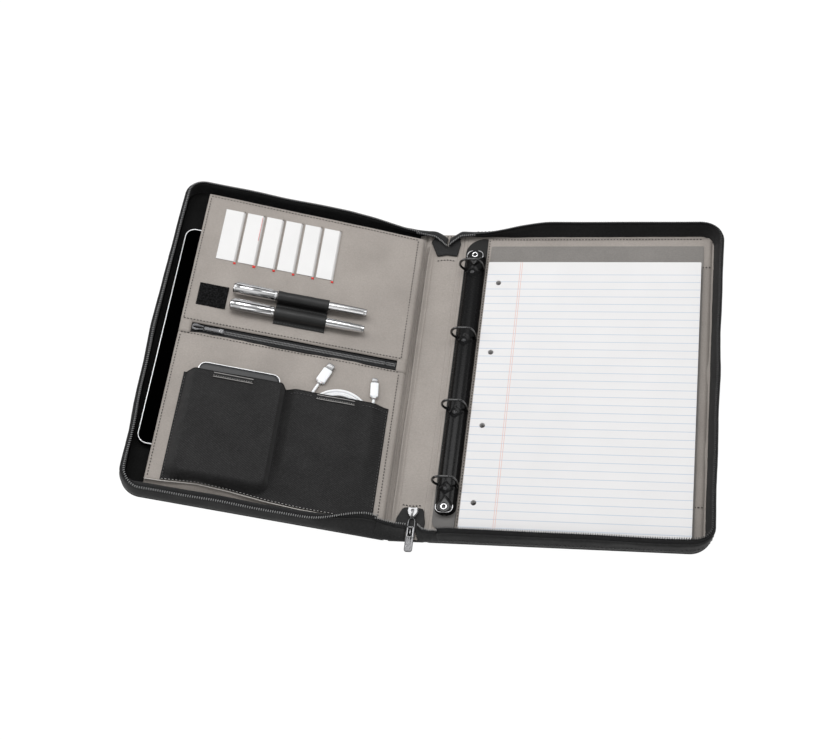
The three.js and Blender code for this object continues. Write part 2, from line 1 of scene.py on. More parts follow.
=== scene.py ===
"""Looks for the open zip portfolio case: cloth, stitching, zips, rings, paper and contents.

Lengths in this script are millimetres, in the CAD's own frame, until make_piece() writes a mesh in
metres. The front cover's pieces are laid out in that cover's own frame: s is the distance from its
hinge line, y runs along the spine, and n is the height above the hinge axis.
"""

import json
import math

import bmesh
import bpy
import numpy as np
from mathutils import Euler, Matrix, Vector


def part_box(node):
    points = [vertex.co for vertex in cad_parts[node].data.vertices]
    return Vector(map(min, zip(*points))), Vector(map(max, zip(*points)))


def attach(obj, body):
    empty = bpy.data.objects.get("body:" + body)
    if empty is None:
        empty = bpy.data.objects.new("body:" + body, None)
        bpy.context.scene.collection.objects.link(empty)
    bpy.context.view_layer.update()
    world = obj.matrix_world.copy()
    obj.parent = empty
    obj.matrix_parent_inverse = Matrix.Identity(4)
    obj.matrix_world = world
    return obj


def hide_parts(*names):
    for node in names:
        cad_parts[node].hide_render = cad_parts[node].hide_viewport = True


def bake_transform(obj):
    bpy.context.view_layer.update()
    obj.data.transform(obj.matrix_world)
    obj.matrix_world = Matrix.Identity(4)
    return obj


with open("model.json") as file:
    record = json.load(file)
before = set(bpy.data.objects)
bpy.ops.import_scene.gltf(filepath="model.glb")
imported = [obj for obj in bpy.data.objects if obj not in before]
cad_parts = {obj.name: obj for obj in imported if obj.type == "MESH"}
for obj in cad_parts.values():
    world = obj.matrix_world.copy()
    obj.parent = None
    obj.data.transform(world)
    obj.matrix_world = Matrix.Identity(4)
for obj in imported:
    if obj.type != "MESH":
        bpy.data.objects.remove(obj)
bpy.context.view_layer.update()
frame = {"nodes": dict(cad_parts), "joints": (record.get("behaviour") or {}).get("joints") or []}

MM = 0.001


# ---------------------------------------------------------------- sizes read from the frame
def joint(name):
    return next(j for j in frame["joints"] if j["name"] == name)


def box_mm(node):
    low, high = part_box(node)
    return [c / MM for c in low], [c / MM for c in high]


BACK_HINGE_X = joint("spine_fold")["pos_m"][0] / MM
FRONT_HINGE_X = joint("front_cover_fold")["pos_m"][0] / MM
HINGE_Z = joint("spine_fold")["pos_m"][2] / MM
OUTWARD = Vector(joint("upper_pen_slide")["axis"]).normalized()
TILT = math.atan2(OUTWARD.z, -OUTWARD.x)

back_high = box_mm("back_cover_shell")[1]
COVER_WIDTH = back_high[0] - BACK_HINGE_X
HALF_LENGTH = back_high[1]
CORNER = 20.0
BOARD_TOP = back_high[2]
LINING_TOP = box_mm("back_cover_lining")[1][2]
WALL_FOOT = BOARD_TOP + 0.3
WALL_RISE = 14.6
ZIP_TOOTH_PITCH = 2.1
PANEL_START, PANEL_END = 3.5, 227.0     # s of the organiser panels' edges
BINDER_X = sum(c[0] for c in box_mm("ring_cover_plate")) / 2
RING_ROWS = [sum(c[1] for c in box_mm(f"left_half_ring_{i}")) / 2 for i in range(1, 5)]
PLATE_LOW_Y, PLATE_HIGH_Y = (c[1] for c in box_mm("ring_cover_plate"))
PLATE_CROWN = box_mm("ring_cover_plate")[1][2]


def on_front(points):
    """Points (s, y, n) of the front cover's frame, in the row frame."""
    p = np.asarray(points, float)
    s, y, n = p[..., 0], p[..., 1], p[..., 2]
    x = FRONT_HINGE_X - s * math.cos(TILT) + n * math.sin(TILT)
    z = HINGE_Z + s * math.sin(TILT) + n * math.cos(TILT)
    return np.stack([x, y, z], -1)


def on_back(points):
    return np.asarray(points, float)


FRONT_UP = (math.sin(TILT), 0, math.cos(TILT))
UP = (0, 0, 1)


# ---------------------------------------------------------------- node materials
class Look:
    """A Principled material with short calls for the textures that drive it."""

    def __init__(self, name, color, roughness, **sockets):
        self.material = bpy.data.materials.new(name)
        self.material.use_nodes = True
        self.nodes = self.material.node_tree.nodes
        self.links = self.material.node_tree.links
        self.shader = self.nodes["Principled BSDF"]
        self.color = color
        self.shader.inputs["Base Color"].default_value = (*color, 1)
        self.shader.inputs["Roughness"].default_value = roughness
        for socket, value in sockets.items():
            self.shader.inputs[socket.replace("_", " ")].default_value = value
        self.place = self.add("ShaderNodeTexCoord").outputs["Object"]
        self.height = None

    def add(self, kind, **settings):
        node = self.nodes.new(kind)
        for key, value in settings.items():
            setattr(node, key, value)
        return node

    def noise(self, scale, detail=3.0, stretch=(1, 1, 1)):
        mapping = self.add("ShaderNodeMapping")
        mapping.inputs["Scale"].default_value = stretch
        self.links.new(self.place, mapping.inputs["Vector"])
        node = self.add("ShaderNodeTexNoise")
        node.inputs["Scale"].default_value = scale
        node.inputs["Detail"].default_value = detail
        self.links.new(mapping.outputs[0], node.inputs["Vector"])
        return node.outputs["Fac"]

    def wave(self, direction, pitch, distortion=0.0):
        """Bands across one axis, pitch millimetres apart."""
        node = self.add("ShaderNodeTexWave", bands_direction=direction)
        turns = 20 if direction in "XYZ" else 10
        node.inputs["Scale"].default_value = 2 * math.pi / (turns * pitch * MM)
        node.inputs["Distortion"].default_value = distortion
        self.links.new(self.place, node.inputs["Vector"])
        return node.outputs["Fac"]

    def math(self, operation, a, b=0.5):
        node = self.add("ShaderNodeMath", operation=operation)
        for slot, value in enumerate((a, b)):
            if isinstance(value, (int, float)):
                node.inputs[slot].default_value = value
            else:
                self.links.new(value, node.inputs[slot])
        return node.outputs[0]

    def spread(self, factor, low, high):
        """A factor from 0 to 1, mapped to run from low to high."""
        node = self.add("ShaderNodeMapRange")
        self.links.new(factor, node.inputs["Value"])
        node.inputs["From Min"].default_value = 0.25
        node.inputs["From Max"].default_value = 0.75
        node.inputs["To Min"].default_value = low
        node.inputs["To Max"].default_value = high
        return node.outputs[0]

    def tint(self, factor, low, high):
        """Multiplies the colour by low to high as factor runs from 0 to 1."""
        node = self.add("ShaderNodeMix", data_type="RGBA", blend_type="MULTIPLY")
        node.inputs["Factor"].default_value = 1.0
        strength = self.spread(factor, low, high)
        gray = self.add("ShaderNodeCombineColor")
        for channel in range(3):
            self.links.new(strength, gray.inputs[channel])
        self.join_color(node, 6)
        self.links.new(gray.outputs[0], node.inputs[7])
        self.links.new(node.outputs[2], self.shader.inputs["Base Color"])

    def mark(self, factor, color):
        """Paints color where factor is 1."""
        node = self.add("ShaderNodeMix", data_type="RGBA")
        self.links.new(factor, node.inputs["Factor"])
        self.join_color(node, 6)
        node.inputs[7].default_value = (*color, 1)
        self.links.new(node.outputs[2], self.shader.inputs["Base Color"])

    def join_color(self, node, slot):
        base = self.shader.inputs["Base Color"]
        if base.is_linked:
            self.links.new(base.links[0].from_socket, node.inputs[slot])
        else:
            node.inputs[slot].default_value = base.default_value

    def rough(self, factor, low, high):
        self.links.new(self.spread(factor, low, high), self.shader.inputs["Roughness"])

    def bump(self, factor, depth, strength=1.0):
        """Adds relief of the given depth in millimetres."""
        node = self.add("ShaderNodeBump")
        node.inputs["Strength"].default_value = strength
        node.inputs["Distance"].default_value = depth * MM
        self.links.new(factor, node.inputs["Height"])
        if self.height is not None:
            self.links.new(self.height, node.inputs["Normal"])
        self.height = node.outputs["Normal"]
        self.links.new(self.height, self.shader.inputs["Normal"])


def weave(look, pitch):
    """Warp and weft bands that read as a weave on a face turned any way."""
    bands = [look.wave(axis, pitch) for axis in "XYZ"]
    return look.math("MULTIPLY", look.math("ADD", look.math("ADD", bands[0], bands[1]), bands[2]), 0.34)


def cloth(name, color, roughness, pitch, depth, patch=(0.93, 1.05), speckle=(0.9, 1.1), twill=0.0,
          **sockets):
    """Woven cloth: colour patches, fibre specks, a weave in relief, and diagonal twill bands in colour
    where twill is given.
    """
    look = Look(name, color, roughness, **sockets)
    woven = weave(look, pitch)
    look.tint(look.noise(28, 4), *patch)
    look.tint(look.noise(850, 3), *speckle)
    look.tint(look.noise(430, 2, (1, 2.2, 1)), (1 + speckle[0]) / 2, (1 + speckle[1]) / 2)
    if twill:
        look.tint(look.wave("DIAGONAL", 2.1, 0.6), 1 - twill, 1 + twill)
    look.rough(look.noise(60, 3), roughness - 0.06, roughness + 0.06)
    look.bump(look.noise(170, 4), 0.25, 0.35)
    look.bump(look.noise(900, 2), 0.12, 0.5)
    look.bump(woven, depth, 0.3)
    return look.material


def metal(name, color, roughness):
    look = Look(name, color, roughness, Metallic=1.0)
    look.tint(look.noise(90, 3), 0.94, 1.04)
    look.rough(look.noise(350, 4), max(roughness - 0.05, 0.02), roughness + 0.07)
    look.bump(look.noise(900, 3), 0.01, 0.25)
    return look.material


def plastic(name, color, roughness, **sockets):
    look = Look(name, color, roughness, **sockets)
    look.tint(look.noise(40, 3), 0.96, 1.03)
    look.rough(look.noise(500, 4), max(roughness - 0.04, 0.02), roughness + 0.06)
    look.bump(look.noise(2600, 2), 0.012, 0.3)
    return look.material


SHELL = cloth("black shell cloth", (0.0068, 0.0068, 0.007), 0.7, 0.95, 0.1, patch=(0.75, 1.3),
              speckle=(0.4, 1.8), Specular_IOR_Level=0.3, Sheen_Weight=0.06, Sheen_Roughness=0.5)
POCKET = cloth("black pocket twill", (0.0088, 0.0086, 0.0088), 0.75, 1.1, 0.1, patch=(0.85, 1.2), twill=0.4,
               speckle=(0.4, 1.8), Specular_IOR_Level=0.25, Sheen_Weight=0.06, Sheen_Roughness=0.5)
SLEEVE = cloth("black sleeve lining", (0.003, 0.003, 0.003), 0.85, 0.8, 0.08, speckle=(0.5, 1.6),
               Specular_IOR_Level=0.15)
LINING = cloth("warm grey lining", (0.285, 0.258, 0.235), 0.62, 0.7, 0.05, patch=(0.9, 1.08),
               speckle=(0.92, 1.08), Specular_IOR_Level=0.35, Sheen_Weight=0.1, Sheen_Roughness=0.45)
PALE_BINDING = cloth("pale cut edge", (0.55, 0.53, 0.5), 0.7, 0.5, 0.06)
TAPE = cloth("black zip tape", (0.008, 0.008, 0.0085), 0.7, 0.6, 0.12, speckle=(0.6, 1.5),
             Specular_IOR_Level=0.25)
LOOP_LEATHER = cloth("black loop leather", (0.009, 0.009, 0.009), 0.5, 1.3, 0.1, speckle=(0.6, 1.5),
                     Specular_IOR_Level=0.4)
DARK_NYLON = plastic("dark nylon teeth", (0.035, 0.035, 0.036), 0.3)
# Black nylon teeth coloured light grey: a painted highlight standing in for their glossy tips.
NYLON_PAINTED_HIGHLIGHT = plastic("black nylon teeth, painted highlight", (0.2, 0.2, 0.202), 0.3)
DARK_THREAD = cloth("dark thread", (0.03, 0.027, 0.025), 0.7, 0.3, 0.05)
GREY_THREAD = cloth("grey thread", (0.34, 0.33, 0.32), 0.7, 0.3, 0.05)
BLACK_THREAD = cloth("black thread", (0.06, 0.06, 0.061), 0.55, 0.3, 0.05)
RED_THREAD = cloth("red thread", (0.65, 0.03, 0.02), 0.6, 0.3, 0.05)
ENAMEL = plastic("black plate enamel", (0.0024, 0.0024, 0.0026), 0.24, Specular_IOR_Level=0.14)
RING_ENAMEL = plastic("black gloss enamel", (0.004, 0.004, 0.0045), 0.12, Coat_Weight=0.7,
                      Coat_Roughness=0.05)
LEVER_ENAMEL = plastic("black lever enamel", (0.003, 0.003, 0.0033), 0.16, Specular_IOR_Level=0.3)
CHROME = metal("bright chrome", (0.82, 0.82, 0.83), 0.1)
SATIN = metal("satin nickel", (0.36, 0.36, 0.365), 0.42)
GUNMETAL = metal("gunmetal", (0.1, 0.1, 0.103), 0.3)
STEEL = metal("plated steel", (0.5, 0.5, 0.51), 0.3)
DARK_METAL = metal("dark slider metal", (0.085, 0.085, 0.088), 0.28)
SILVER_RIM = metal("silver rim", (0.78, 0.78, 0.79), 0.42)
BANK = plastic("dark grey housing", (0.015, 0.0155, 0.017), 0.3, Specular_IOR_Level=0.35)
GLASS = plastic("black screen glass", (0.0003, 0.0003, 0.0003), 0.3, Specular_IOR_Level=0.0)
WHITE_PLASTIC = plastic("white cable plastic", (0.79, 0.79, 0.8), 0.34, Subsurface_Weight=0.04)
BOARD = cloth("grey backing board", (0.17, 0.16, 0.15), 0.75, 0.6, 0.03, patch=(0.92, 1.08))


def make_pen_metal():
    look = Look("satin pen metal", (0.74, 0.74, 0.745), 0.12, Metallic=1.0)
    look.tint(look.wave("Y", 3.3), 0.42, 1.12)                       # painted reflection: dark and light bands along the pen stand in for its reflection streaks
    look.rough(look.noise(40, 2), 0.1, 0.14)
    return look.material


def make_hook_pile():
    look = Look("black hook pile", (0.0026, 0.0026, 0.0028), 0.85, Specular_IOR_Level=0.12)
    look.tint(look.noise(620, 3), -3.0, 7.0)
    look.bump(look.noise(1000, 4), 0.3, 0.5)
    return look.material


def make_card():
    look = Look("white card", (0.68, 0.676, 0.672), 0.6)
    look.tint(look.noise(35, 3), 0.97, 1.02)
    look.bump(look.noise(900, 4), 0.02, 0.3)
    return look.material


def make_paper():
    """White pad: faint blue rules on the face, a red margin line, and leaves at the sides."""
    low, high = box_mm("writing_pad")
    look = Look("ruled paper", (0.635, 0.63, 0.632), 0.75)
    look.tint(look.noise(24, 3), 0.975, 1.015)
    place = look.add("ShaderNodeSeparateXYZ")
    look.links.new(look.place, place.inputs[0])
    facing = look.add("ShaderNodeNewGeometry")
    normal = look.add("ShaderNodeSeparateXYZ")
    look.links.new(facing.outputs["Normal"], normal.inputs[0])
    top = look.math("GREATER_THAN", normal.outputs[2], 0.7)

    pitch = 8.57 * MM
    first = (high[1] - 14.9) * MM
    offset = look.math("DIVIDE", look.math("SUBTRACT", place.outputs[1], first), pitch)
    step = look.math("FRACT", look.math("ADD", offset, 0.5))
    line = look.math("LESS_THAN", look.math("ABSOLUTE", look.math("SUBTRACT", step, 0.5)), 0.042)
    below_first = look.math("LESS_THAN", place.outputs[1], first + 0.4 * MM)
    rules = look.math("MULTIPLY", look.math("MULTIPLY", line, below_first), top)
    look.mark(look.math("MULTIPLY", rules, 0.7), (0.33, 0.41, 0.52))
    for margin in (low[0] + 32.4, low[0] + 34.2):
        near_margin = look.math("ABSOLUTE", look.math("SUBTRACT", place.outputs[0], margin * MM))
        margin_line = look.math("MULTIPLY", look.math("LESS_THAN", near_margin, 0.27 * MM), top)
        look.mark(look.math("MULTIPLY", margin_line, 0.85), (0.6, 0.37, 0.33))

    leaves = look.wave("Z", 0.32, 0.4)
    sides = look.math("SUBTRACT", 1.0, top)
    look.mark(look.math("MULTIPLY", look.math("MULTIPLY", leaves, sides), 0.45), (0.5, 0.49, 0.48))
    look.bump(look.noise(1100, 4), 0.015, 0.3)
    return look.material


def make_strip():
    """Coated strip, grey at the near end, with a painted shadow that turns it black further on."""
    look = Look("dark coated strip", (0.11, 0.106, 0.102), 0.5, Specular_IOR_Level=0.25)
    look.tint(look.noise(45, 4), 0.85, 1.15)
    place = look.add("ShaderNodeSeparateXYZ")
    look.links.new(look.place, place.inputs[0])
    fade = look.add("ShaderNodeMapRange", interpolation_type="SMOOTHSTEP")
    look.links.new(place.outputs[1], fade.inputs["Value"])
    fade.inputs["From Min"].default_value = -0.15
    fade.inputs["From Max"].default_value = -0.09
    # painted shadow: black from the near end onward, where the wall's shadow falls
    look.mark(fade.outputs[0], (0.0045, 0.0044, 0.0043))
    look.bump(weave(look, 0.9), 0.03, 0.5)
    return look.material


STRIP = make_strip()
PEN_METAL = make_pen_metal()
HOOK_PILE = make_hook_pile()
CARD = make_card()
PAPER = make_paper()

# The record's slot for each finish, where a piece names no other.
SLOT_OF = {
    material.name: slot
    for slot, materials in {
        "shell_fabric": (SHELL, POCKET, SLEEVE, LOOP_LEATHER, BLACK_THREAD, GREY_THREAD),
        "lining": (LINING, PALE_BINDING, DARK_THREAD, RED_THREAD),
        "zip_nylon": (TAPE, NYLON_PAINTED_HIGHLIGHT, DARK_NYLON),
        "zip_metal": (SATIN, GUNMETAL, STEEL, CHROME),
        "enamel": (ENAMEL, RING_ENAMEL, LEVER_ENAMEL),
        "pull_paint": (DARK_METAL,),
        "pen_metal": (PEN_METAL,),
        "screen_glass": (GLASS,),
        "bank": (BANK,),
        "cable_plastic": (WHITE_PLASTIC,),
        "hook_pile": (HOOK_PILE,),
    }.items()
    for material in materials
}


# ---------------------------------------------------------------- mesh helpers
CRUMPLE_WAVES = 7


def crumple(x, y, wavelength, seed):
    """Smooth unevenness of about -1 to 1 over a surface, the same at each run."""
    random = np.random.default_rng(seed)
    total = np.zeros(np.broadcast(x, y).shape)
    for _ in range(CRUMPLE_WAVES):
        angle = random.uniform(0, 2 * math.pi)
        length = wavelength * random.uniform(0.6, 1.7)
        phase = random.uniform(0, 2 * math.pi)
        total += np.sin(2 * math.pi * (x * math.cos(angle) + y * math.sin(angle)) / length + phase)
    return total / math.sqrt(CRUMPLE_WAVES)


def ramp(value, low, high):
    """0 below low, 1 above high, smooth between."""
    t = np.clip((np.asarray(value, float) - low) / (high - low), 0, 1)
    return t * t * (3 - 2 * t)


def smooth_line(points, step):
    """A Catmull-Rom curve through points, resampled at about step millimetres."""
    p = np.asarray(points, float)
    ends = np.vstack([2 * p[0] - p[1], p, 2 * p[-1] - p[-2]])
    dense = []
    for i in range(1, len(ends) - 2):
        a, b, c, d = ends[i - 1:i + 3]
        for t in np.linspace(0, 1, 16, endpoint=False):
            dense.append(0.5 * (2 * b + (c - a) * t + (2 * a - 5 * b + 4 * c - d) * t ** 2
                                + (3 * b - a - 3 * c + d) * t ** 3))
    dense.append(p[-1])
    return resample(np.array(dense), step)


def resample(line, step):
    """The line with its points about step millimetres apart."""
    line = np.asarray(line, float)
    lengths = np.concatenate([[0], np.cumsum(np.linalg.norm(np.diff(line, axis=0), axis=1))])
    count = max(int(round(lengths[-1] / step)), 2)
    marks = np.linspace(0, lengths[-1], count + 1)
    return np.stack([np.interp(marks, lengths, line[:, axis]) for axis in range(line.shape[1])], -1)


def circle(radius, count):
    """Points (x, y) round the origin."""
    angles = 2 * math.pi * np.arange(count) / count
    return radius * np.column_stack([np.cos(angles), np.sin(angles)])


def make_piece(name, vertices, faces, material, body=None, slot=None, replaces=(), sharp_angle=None):
    """A smooth mesh piece from millimetres, attached to its body where one is given."""
    mesh = bpy.data.meshes.new(name)
    mesh.from_pydata([tuple(float(c) * MM for c in v) for v in vertices], [], faces)
    work = bmesh.new()
    work.from_mesh(mesh)
    bmesh.ops.remove_doubles(work, verts=work.verts, dist=1e-7)
    bmesh.ops.recalc_face_normals(work, faces=work.faces)
    work.to_mesh(mesh)
    work.free()
    mesh.materials.append(material)
    mesh.polygons.foreach_set("use_smooth", [True] * len(mesh.polygons))
    if sharp_angle is not None:
        mesh.set_sharp_from_angle(angle=math.radians(sharp_angle))
    piece = bpy.data.objects.new(name, mesh)
    bpy.context.scene.collection.objects.link(piece)
    if body is not None:
        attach(piece, body)
    slot or SLOT_OF[material.name]
    if replaces:
        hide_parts(*replaces)
    return piece


def soften(piece, width, segments=3):
    """Rounds a piece's sharp edges."""
    modifier = piece.modifiers.new("edges", "BEVEL")
    modifier.width = width * MM
    modifier.segments = segments
    modifier.limit_method = "ANGLE"
    modifier.angle_limit = math.radians(35)
    return piece


def give(node, material, edge=None):
    """Puts a material on a CAD node that keeps its own shape."""
    piece = frame["nodes"][node]
    piece.data.materials.clear()
    piece.data.materials.append(material)
    if edge is not None:
        soften(piece, edge)


def grid_faces(rows, columns, close_columns=False, keep=None):
    """Four-sided faces between neighbouring points of a grid, without those that keep refuses."""
    faces = []
    last = columns if close_columns else columns - 1
    for r in range(rows - 1):
        for c in range(last):
            if keep is not None and not keep(r, c):
                continue
            d = (c + 1) % columns
            faces.append((r * columns + c, r * columns + d, (r + 1) * columns + d, (r + 1) * columns + c))
    return faces


def sheet_piece(name, points, material, thickness, up=UP, keep=None, offset=-1.0, **rest):
    """A sheet over a grid of points (rows, columns, 3), with its thickness below them at offset -1.

    Its faces are turned so that most look along up.
    """
    rows, columns = points.shape[:2]
    piece = make_piece(name, points.reshape(-1, 3), grid_faces(rows, columns, keep=keep), material, **rest)
    total = Vector((0, 0, 0))
    for polygon in piece.data.polygons:
        total += polygon.normal * polygon.area
    if total.dot(Vector(up)) < 0:
        piece.data.flip_normals()
    modifier = piece.modifiers.new("thickness", "SOLIDIFY")
    modifier.thickness = thickness * MM
    modifier.offset = offset
    return piece


def loft_piece(name, sections, material, **rest):
    """A closed body through closed sections (rows, corners, 3), with flat ends."""
    rows, corners = sections.shape[:2]
    faces = grid_faces(rows, corners, close_columns=True)
    faces.append(tuple(range(corners)))
    faces.append(tuple((rows - 1) * corners + c for c in reversed(range(corners))))
    return make_piece(name, sections.reshape(-1, 3), faces, material, **rest)


def rounded_loop(low, high, radii, per_corner=8):
    """Returns a function of inset: the rounded rectangle's outline, drawn in by that much."""
    def outline(inset):
        points = []
        corners = [((low[0], low[1]), radii[0], 180), ((high[0], low[1]), radii[1], 270),
                   ((high[0], high[1]), radii[2], 0), ((low[0], high[1]), radii[3], 90)]
        for (x, y), radius, start in corners:
            cx = x + radius if x == low[0] else x - radius
            cy = y + radius if y == low[1] else y - radius
            reach = radius - inset
            for step in range(per_corner + 1):
                angle = math.radians(start + 90 * step / per_corner)
                points.append((cx + reach * math.cos(angle), cy + reach * math.sin(angle)))
        return np.array(points)
    return outline


def edge_profile(bottom, top, radius, steps=4):
    """(inset, height) pairs round the side of a plate with rounded edges."""
    profile = [(radius + 1.5, bottom)]
    for step in range(steps + 1):
        angle = math.pi / 2 * step / steps
        profile.append((radius - radius * math.sin(angle), bottom + radius - radius * math.cos(angle)))
    for step in range(steps + 1):
        angle = math.pi / 2 * step / steps
        profile.append((radius - radius * math.cos(angle), top - radius + radius * math.sin(angle)))
    profile.append((radius + 1.5, top))
    return profile


def plate_piece(name, outline, profile, place, material, crown=0.0, bottom=True, **rest):
    """A plate: its outline at each inset of the profile. crown lifts the middle of the top."""
    sections = []
    for inset, height in profile:
        loop = outline(inset)
        sections.append(np.column_stack([loop, np.full(len(loop), height)]))
    sections = np.array(sections)
    rows, corners = sections.shape[:2]
    faces = grid_faces(rows, corners, close_columns=True)
    points = list(sections.reshape(-1, 3))
    for row, lift in ((0, 0.0), (rows - 1, crown)):
        if row == 0 and not bottom:
            continue
        centre = sections[row].mean(0)
        outer = row * corners
        inner = len(points)
        for corner in sections[row]:
            points.append((centre + corner) / 2 + np.array([0, 0, 0.75 * lift]))
        points.append(centre + np.array([0, 0, lift]))
        tip = len(points) - 1
        for c in range(corners):
            d = (c + 1) % corners
            faces.append((outer + c, outer + d, inner + d, inner + c))
        faces += [(inner + c, inner + (c + 1) % corners, tip) for c in range(corners)]
    return make_piece(name, place(np.array(points)), faces, material, **rest)


def tube_piece(name, line, radius, material, sides=10, closed=False, **rest):
    """A round tube along a line of points."""
    line = np.asarray(line, float)
    count = len(line)
    ahead = np.roll(line, -1, 0) - np.roll(line, 1, 0)
    if not closed:
        ahead[0] = line[1] - line[0]
        ahead[-1] = line[-1] - line[-2]
    ahead /= np.linalg.norm(ahead, axis=1)[:, None]
    side = np.cross(ahead[0], (0, 0, 1.0))
    if np.linalg.norm(side) < 0.2:
        side = np.cross(ahead[0], (0, 1.0, 0))
    points = []
    for i in range(count):
        side = side - ahead[i] * (side @ ahead[i])
        side /= np.linalg.norm(side)
        lift = np.cross(ahead[i], side)
        for k in range(sides):
            angle = 2 * math.pi * k / sides
            points.append(line[i] + radius * (math.cos(angle) * side + math.sin(angle) * lift))
    faces = grid_faces(count, sides, close_columns=True)
    if closed:
        last = (count - 1) * sides
        faces += [(last + k, last + (k + 1) % sides, (k + 1) % sides, k) for k in range(sides)]
    else:
        faces.append(tuple(range(sides)))
        faces.append(tuple((count - 1) * sides + k for k in reversed(range(sides))))
    return make_piece(name, points, faces, material, **rest)


def capsules(name, starts, ends, up, radius, lift, material, **rest):
    """Many small round-ended bars in one mesh, such as stitches or zip teeth, arched by lift."""
    sides = 6
    along = np.linspace(0, 1, 5)
    girth = np.array([0.35, 0.95, 1.0, 0.95, 0.35])
    arch = np.array([-0.4, 0.55, 0.8, 0.55, -0.4]) * lift
    points, faces = [], []
    ups = np.broadcast_to(np.asarray(up, float), np.shape(starts))
    for start, end, normal in zip(starts, ends, ups):
        direction = (end - start) / np.linalg.norm(end - start)
        side = np.cross(direction, normal)
        side /= np.linalg.norm(side)
        normal = np.cross(side, direction)
        base = len(points)
        for t, g, a in zip(along, girth, arch):
            centre = start + (end - start) * t + normal * a
            for k in range(sides):
                angle = 2 * math.pi * k / sides
                points.append(centre + radius * g * (math.cos(angle) * side + math.sin(angle) * normal))
        for r in range(len(along) - 1):
            for k in range(sides):
                m = (k + 1) % sides
                a, b = base + r * sides, base + (r + 1) * sides
                faces.append((a + k, a + m, b + m, b + k))
        faces.append(tuple(base + k for k in range(sides)))
        faces.append(tuple(base + (len(along) - 1) * sides + k for k in reversed(range(sides))))
    return make_piece(name, points, faces, material, **rest)


def stitch_rows(name, lines, up, material, length=1.9, space=1.25, radius=0.42, **rest):
    """Running stitches along each line of points."""
    starts, ends, ups = [], [], []
    for line in lines:
        marks = resample(line, 0.5)
        lengths = np.concatenate([[0], np.cumsum(np.linalg.norm(np.diff(marks, axis=0), axis=1))])
        at = 0.0
        while at + length < lengths[-1]:
            pair = [np.array([np.interp(d, lengths, marks[:, k]) for k in range(3)])
                    for d in (at, at + length)]
            starts.append(pair[0])
            ends.append(pair[1])
            ups.append(up)
            at += length + space
    return capsules(name, np.array(starts), np.array(ends), np.array(ups), radius, radius, material, **rest)


def lathe_piece(name, profile, centre, axis, material, sides=40, **rest):
    """A turned piece: profile is (radius, distance along axis) pairs."""
    axis = np.asarray(axis, float) / np.linalg.norm(axis)
    side = np.cross(axis, (0, 1.0, 0.1))
    side /= np.linalg.norm(side)
    other = np.cross(axis, side)
    sections = []
    for radius, along in profile:
        ring = []
        for k in range(sides):
            angle = 2 * math.pi * k / sides
            spoke = math.cos(angle) * side + math.sin(angle) * other
            ring.append(np.asarray(centre) + axis * along + spoke * max(radius, 0.01))
        sections.append(ring)
    return loft_piece(name, np.array(sections), material, **rest)


# ---------------------------------------------------------------- camera, floor and light
CAMERA_PLACE = (0.1542, -0.6757, 1.2199)        # metres
CAMERA_TURN = (30.11, 10.42, 7.12)              # degrees
CAMERA_LENS = 62.41


def build_camera():
    camera = bpy.data.cameras.new("camera")
    camera.lens = CAMERA_LENS
    camera.sensor_width = 36
    camera.clip_start = 0.05
    holder = bpy.data.objects.new("camera", camera)
    holder.location = CAMERA_PLACE
    holder.rotation_euler = Euler([math.radians(a) for a in CAMERA_TURN], "XYZ")
    bpy.context.scene.collection.objects.link(holder)
    bpy.context.scene.camera = holder


def soft_light(name, location, target, size, power):
    """A white rectangular light; places are in metres, power in watts."""
    light = bpy.data.lights.new(name, "AREA")
    light.shape = "RECTANGLE"
    light.size, light.size_y = size
    light.energy = power
    holder = bpy.data.objects.new(name, light)
    holder.location = location
    direction = Vector(target) - Vector(location)
    holder.rotation_euler = direction.to_track_quat("-Z", "Y").to_euler()
    bpy.context.scene.collection.objects.link(holder)


def build_stage():
    """A pale floor that glows evenly, a sky brighter above, and four soft lights."""
    bpy.ops.mesh.primitive_plane_add(size=14, location=(0, 0, -0.0003))
    floor = bpy.context.object
    floor.name = "floor"
    look = Look("pale floor", (0.04, 0.04, 0.04), 0.9, Specular_IOR_Level=0.0,
                Emission_Color=(1, 1, 1, 1), Emission_Strength=0.99)
    look.tint(look.noise(3, 2), 0.995, 1.005)
    floor.data.materials.append(look.material)

    world = bpy.data.worlds.new("world")
    world.use_nodes = True
    nodes, links = world.node_tree.nodes, world.node_tree.links
    sky = nodes.new("ShaderNodeTexCoord")
    parts = nodes.new("ShaderNodeSeparateXYZ")
    links.new(sky.outputs["Generated"], parts.inputs[0])
    glow = nodes.new("ShaderNodeMapRange")
    links.new(parts.outputs[2], glow.inputs["Value"])
    glow.inputs["From Min"].default_value = 0.05
    glow.inputs["From Max"].default_value = 0.75
    glow.inputs["To Min"].default_value = 0.16
    glow.inputs["To Max"].default_value = 0.75
    links.new(glow.outputs[0], nodes["Background"].inputs["Strength"])
    nodes["Background"].inputs["Color"].default_value = (1, 1, 1, 1)
    bpy.context.scene.world = world
    soft_light("overhead softbox", (-0.15, 0.45, 1.6), (-0.13, 0, 0), (1.2, 0.7), 13)
    soft_light("left softbox", (-1.4, 0.3, 0.9), (-0.1, 0, 0), (0.9, 0.9), 8)
    soft_light("right strip", (1.2, 0.5, 0.9), (0, 0, 0), (0.35, 1.1), 6)
    soft_light("front fill", (0.1, -1.7, 0.9), (-0.1, 0, 0), (1.4, 0.6), 2.2)
    bpy.context.scene.view_settings.view_transform = "Standard"


build_camera()
build_stage()


